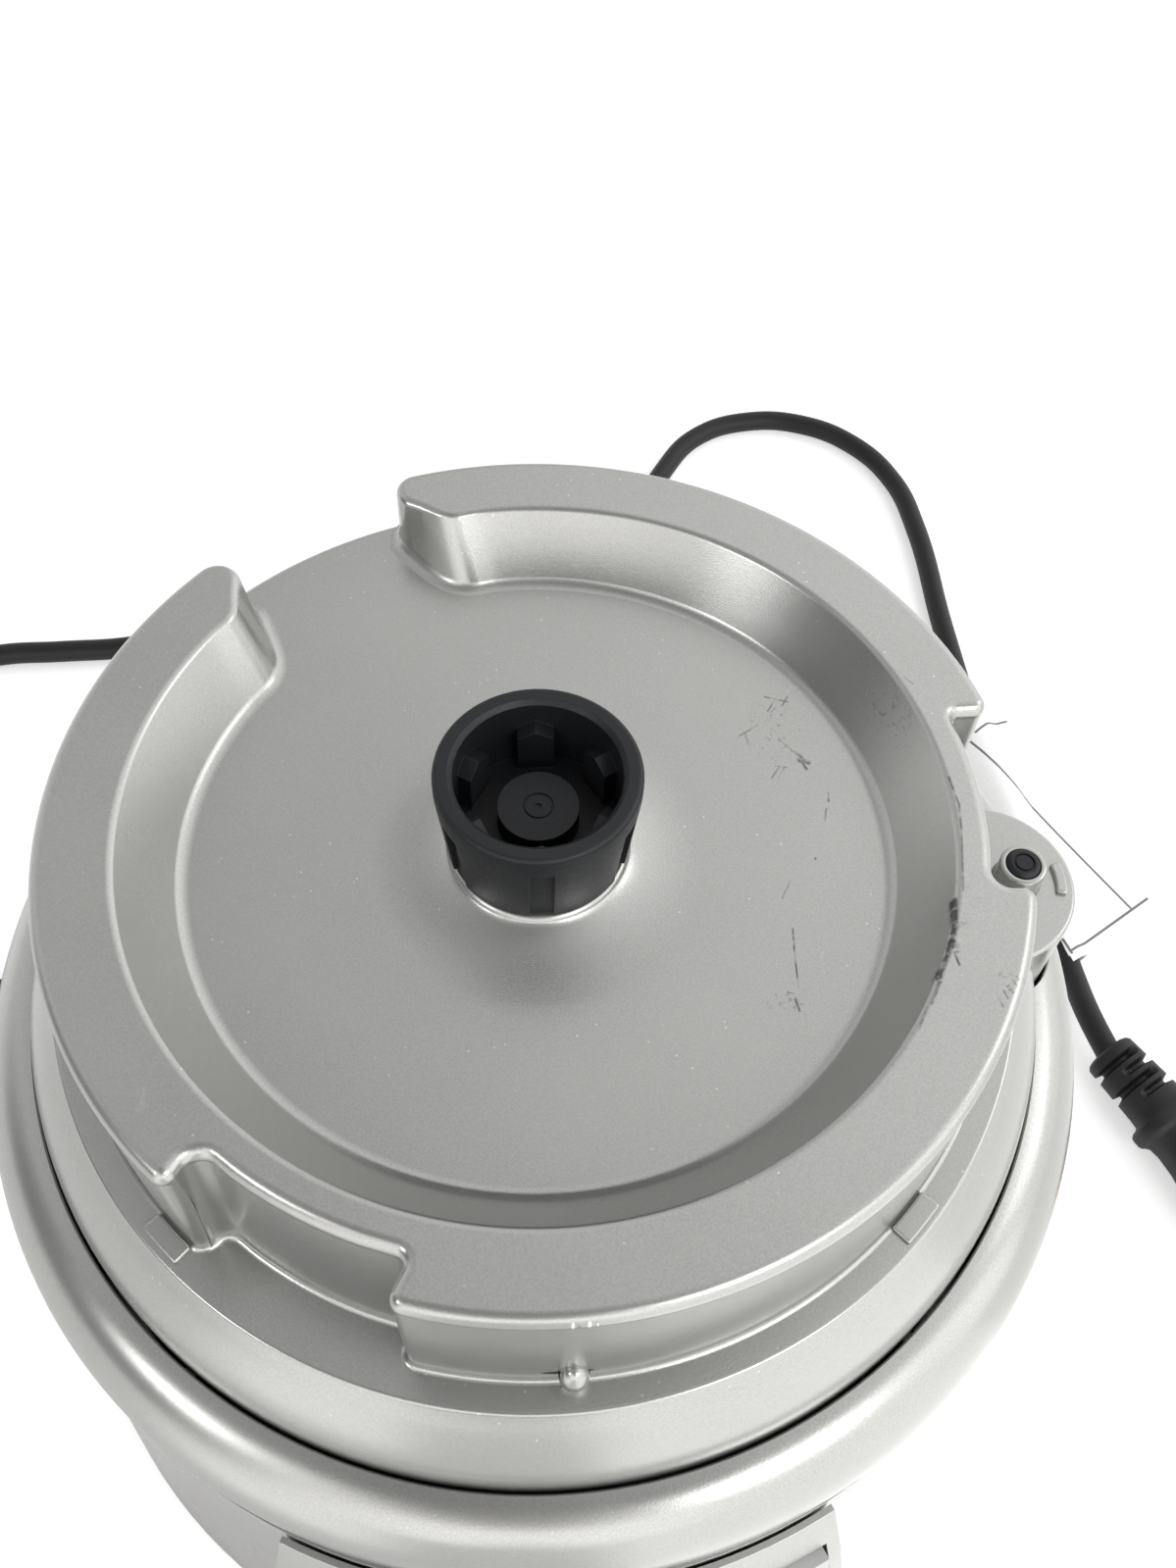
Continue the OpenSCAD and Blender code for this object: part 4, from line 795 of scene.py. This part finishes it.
def buildTag():
    bm = bmesh.new()
    last = None
    for i in range(13):
        u = i / 12
        outer = Vector(tag["corners"][0]).lerp(Vector(tag["corners"][1]), u)
        inner = Vector(tag["cord"][0]).lerp(Vector(tag["cord"][1]), u)
        inner.x += 0.9 * math.sin(math.pi * u)
        width = (outer - inner).length
        along = (outer - inner).normalized()
        level, wrap, lift = tag["level"], tag["wrap"], tag["gap"]
        spread = [(width * (1 - 0.12 * k), level - tag["droop"] * (1 - 0.12 * k - 9 / width) / (1 - 9 / width) + lift)
                  for k in range(5) if width * (1 - 0.12 * k) > 10]
        spread += [(9, level + lift), (6.6, level + 0.5), (5, level + 1.5), (3.6, level + 2.6)]
        spread = spread[:1] * (9 - len(spread)) + spread
        reach = tag["reach"][0] + (tag["reach"][1] - tag["reach"][0]) * u
        section = spread + [(1.9, level + wrap * 0.9)]
        section += [(w * (reach if w < 0 else wrap), level + wrap * z) for w, z in tag["over"]]
        section += [(w, max(2 * level - z, 0.1) if w < 9.1 else z - 2 * lift) for w, z in spread[::-1]]
        row = [bm.verts.new((*(inner + along * w), z)) for w, z in section]
        if last:
            for a, b, c, d in zip(last, last[1:], row[1:], row):
                bm.faces.new((a, b, c, d))
        last = row
    bmesh.ops.remove_doubles(bm, verts=bm.verts, dist=1e-4)
    bmesh.ops.recalc_face_normals(bm, faces=bm.faces)
    bmesh.ops.solidify(bm, geom=bm.faces[:], thickness=tag["sheet"])
    bmesh.ops.recalc_face_normals(bm, faces=bm.faces)
    return finishPiece(bm, "cordTag", looks["tag_paper"], standsFor=["cord_tag"], sharp=40)


pieces["strain_relief"] = buildLoft("strainRelief", boot, "strain_relief")
pieces["plug_body"] = buildLoft("plugBody", plug, "plug_body")
moved = Matrix.Translation(plug["place"]) @ Matrix.Rotation(math.radians(plug["turn"] + 56), 4, "Z")
pieces["plug_blades"] = dressNode("plug_blades", "plugBlades", 0.15,
                                  shift=moved @ Matrix.Translation((-152, -23, -7.8)))
pieces["cord_tag"] = buildTag()

# ---- cord
cordSet = {"diameter": 6.6, "route": [
    (0, 144, 24), (-2, 160, 21), (-8, 172, 15.5), (-19, 182, 9), (-35, 188.5, 4.4), (-57, 189, 3.5), (-79, 184, 3.4),
    (-101, 178, 3.4), (-123, 173, 3.4), (-143, 172, 3.4), (-163, 171, 3.4), (-182, 165, 3.4), (-198, 152, 3.4),
    (-208, 133, 3.4), (-210, 111, 3.4), (-203, 89, 3.4), (-188, 70, 3.4), (-168, 58, 3.4), (-147, 54, 3.4),
    (-128, 61, 3.4), (-99, 91, 3.4), (-58, 116, 3.4), (-11, 127, 3.4), (29, 146, 3.4), (43, 187, 3.4),
    (45, 229, 3.4), (53, 247, 3.4), (66, 263, 3.4), (84, 270, 3.4), (104, 268, 3.4), (121, 257, 3.4),
    (132, 239, 3.4), (136, 217, 3.4), (137, 172, 3.4), (139.5, 128, 3.4), (142.5, 106, 3.4), (147.5, 64, 3.4),
    (148.8, 47, 4), (149.3, 34, 6.4), (151.4, 21.4, 7.8)]}


def buildCord():
    data = bpy.data.curves.new("powerCord", "CURVE")
    data.dimensions = "3D"
    spline = data.splines.new("BEZIER")
    spline.bezier_points.add(len(cordSet["route"]) - 1)
    for point, place in zip(spline.bezier_points, cordSet["route"]):
        point.co = Vector(place) * mm
        point.handle_left_type = point.handle_right_type = "AUTO"
    data.bevel_depth = cordSet["diameter"] / 2 * mm
    data.bevel_resolution = 6
    data.resolution_u = 10
    data.use_fill_caps = True
    data.materials.append(looks["cord_rubber"])
    cord = bpy.data.objects.new("powerCord", data)
    bpy.context.scene.collection.objects.link(cord)
    bpy.context.view_layer.update()
    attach(cord, "base")
    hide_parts("power_cord")
    return cord


buildCord()
print("cord laid")


# ---- floor, light and surroundings
def patched(tree, colour, toward, patches, distance=None):
    for direction, spread, tint, strength, blend, *reach in patches:
        facing = addNode(tree, "ShaderNodeVectorMath", {"operation": "DOT_PRODUCT"}, i0=toward,
                         i1=Vector(direction).normalized()).outputs["Value"]
        amount = mapped(tree, facing, *spread, 0.0, strength)
        if reach:
            amount = math2(tree, "MULTIPLY", amount, mapped(tree, distance, *reach, 0.0, 1.0))
        colour = mixColour(tree, amount, colour, tint, blend)
    return colour


def buildStage():
    bm = bmesh.new()
    bmesh.ops.create_grid(bm, x_segments=2, y_segments=2, size=3.0)
    mesh = bpy.data.meshes.new("table")
    bm.to_mesh(mesh)
    bm.free()
    material, tree, shader = newMaterial("tableWhite", Roughness=0.7)
    shader.inputs["Base Color"].default_value = (0.74, 0.74, 0.74, 1)
    path = addNode(tree, "ShaderNodeLightPath")
    mirrored = math2(tree, "MAXIMUM", path.outputs["Is Glossy Ray"], path.outputs["Is Transmission Ray"])
    around = addNode(tree, "ShaderNodeVectorMath", {"operation": "MULTIPLY"}, i0=objectCoords(tree), i1=(1, 1, 0))
    distance = addNode(tree, "ShaderNodeVectorMath", {"operation": "LENGTH"}, i0=around.outputs[0]).outputs["Value"]
    around = addNode(tree, "ShaderNodeVectorMath", {"operation": "NORMALIZE"}, i0=around.outputs[0]).outputs[0]
    # painted reflection: the table's glow seen by glossy rays gets painted bright lobes, painted dark patches, and a
    # painted shadow near the object
    tint = patched(tree, (1, 1, 1, 1), around, stageSet["patches"], distance)
    tint = mixColour(tree, path.outputs["Is Camera Ray"], tint, (1, 1, 1, 1))
    tree.links.new(tint, shader.inputs["Emission Color"])
    seen = math2(tree, "MULTIPLY", path.outputs["Is Camera Ray"], stageSet["glow"])
    seen = math2(tree, "MAXIMUM", seen, math2(tree, "MULTIPLY", mirrored, stageSet["mirrorGlow"]))
    tree.links.new(seen, shader.inputs["Emission Strength"])
    mesh.materials.append(material)
    table = bpy.data.objects.new("table", mesh)
    table.location = (0, 0, -0.0002)
    bpy.context.scene.collection.objects.link(table)


# each patch: direction it lies in, how wide it is (cosines), tint, strength, and how it is laid on; on the table these
# are painted reflections seen only in glossy rays
stageSet = {"glow": 0.48, "mirrorGlow": 0.41, "zenith": 0.26, "horizon": 0.88, "patches": [
    # two painted bright lobes, then a painted shadow near the object at the front left, then painted dark patches at
    # the front and on the left
    ((0.56, -0.83, 0), (0.86, 0.975), (1, 0.99, 0.97, 1), 3.9, "ADD"),
    ((-0.57, -0.82, 0), (0.93, 0.985), (1, 0.98, 0.96, 1), 1.7, "ADD", 0.24, 0.36),
    ((-0.45, -0.89, 0), (0.75, 0.93), (0.05, 0.04, 0.04, 1), 1.0, "MIX", 0.27, 0.17),
    ((-0.13, -0.99, 0), (0.955, 0.99), (0.05, 0.05, 0.05, 1), 0.9, "MIX"),
    ((-0.98, -0.2, 0), (0.80, 0.96), (0.16, 0.15, 0.15, 1), 0.8, "MIX")]}
skyPatches = [
    ((0.72, 0.35, 0.62), (0.50, 0.98), (1, 1, 1, 1), 1.15, "ADD"),
    ((-0.62, 0.45, 0.66), (0.65, 0.98), (1, 1, 1, 1), 0.35, "ADD"),
    ((0.6, -0.75, 0.25), (0.74, 0.95), (1, 0.99, 0.97, 1), 3.2, "ADD"),
    ((-0.57, -0.78, 0.32), (0.82, 0.96), (1, 0.99, 0.97, 1), 2.2, "ADD"),
    ((0, -0.9, 0.38), (0.86, 0.98), (1, 1, 0.99, 1), 0.5, "ADD"),
    ((-0.06, -0.7, 0.75), (0.93, 0.98), (0.3, 0.29, 0.28, 1), 0.7, "MIX"),
    ((-0.95, -0.25, 0.22), (0.80, 0.95), (0.13, 0.13, 0.13, 1), 0.9, "MIX"),
]
lamps = {
    "frontRight": {"place": (0.65, -0.95, 1.0), "aim": (0, 0, 0.12), "size": 0.5, "power": 4.0},
    "frontLeft": {"place": (-0.98, -0.62, 0.8), "aim": (0, 0, 0.12), "size": 0.35, "power": 2.2},
    "right": {"place": (1.2, 0.2, 1.0), "aim": (0, 0, 0.12), "size": 0.6, "power": 1.9},
}


def buildLights():
    for name, lamp in lamps.items():
        data = bpy.data.lights.new(name, "AREA")
        data.energy = lamp["power"]
        data.size = lamp["size"]
        light = bpy.data.objects.new(name, data)
        light.location = lamp["place"]
        light.rotation_euler = (Vector(lamp["aim"]) - Vector(lamp["place"])).to_track_quat("-Z", "Y").to_euler()
        bpy.context.scene.collection.objects.link(light)
    world = bpy.data.worlds.new("room")
    bpy.context.scene.world = world
    world.use_nodes = True
    tree = world.node_tree
    back = tree.nodes["Background"]
    toward = addNode(tree, "ShaderNodeTexCoord").outputs["Generated"]
    height = addNode(tree, "ShaderNodeSeparateXYZ", i0=toward)
    level = mapped(tree, height.outputs[2], 0.0, 0.9, stageSet["horizon"], stageSet["zenith"])
    colour = addNode(tree, "ShaderNodeCombineColor", i0=level, i1=level, i2=level).outputs[0]
    colour = patched(tree, colour, toward, skyPatches)
    seen = addNode(tree, "ShaderNodeLightPath").outputs["Is Camera Ray"]
    colour = mixColour(tree, seen, colour, (1, 1, 1, 1))
    tree.links.new(colour, back.inputs["Color"])
    back.inputs["Strength"].default_value = 1.0


buildStage()
buildLights()
print("stage ready")
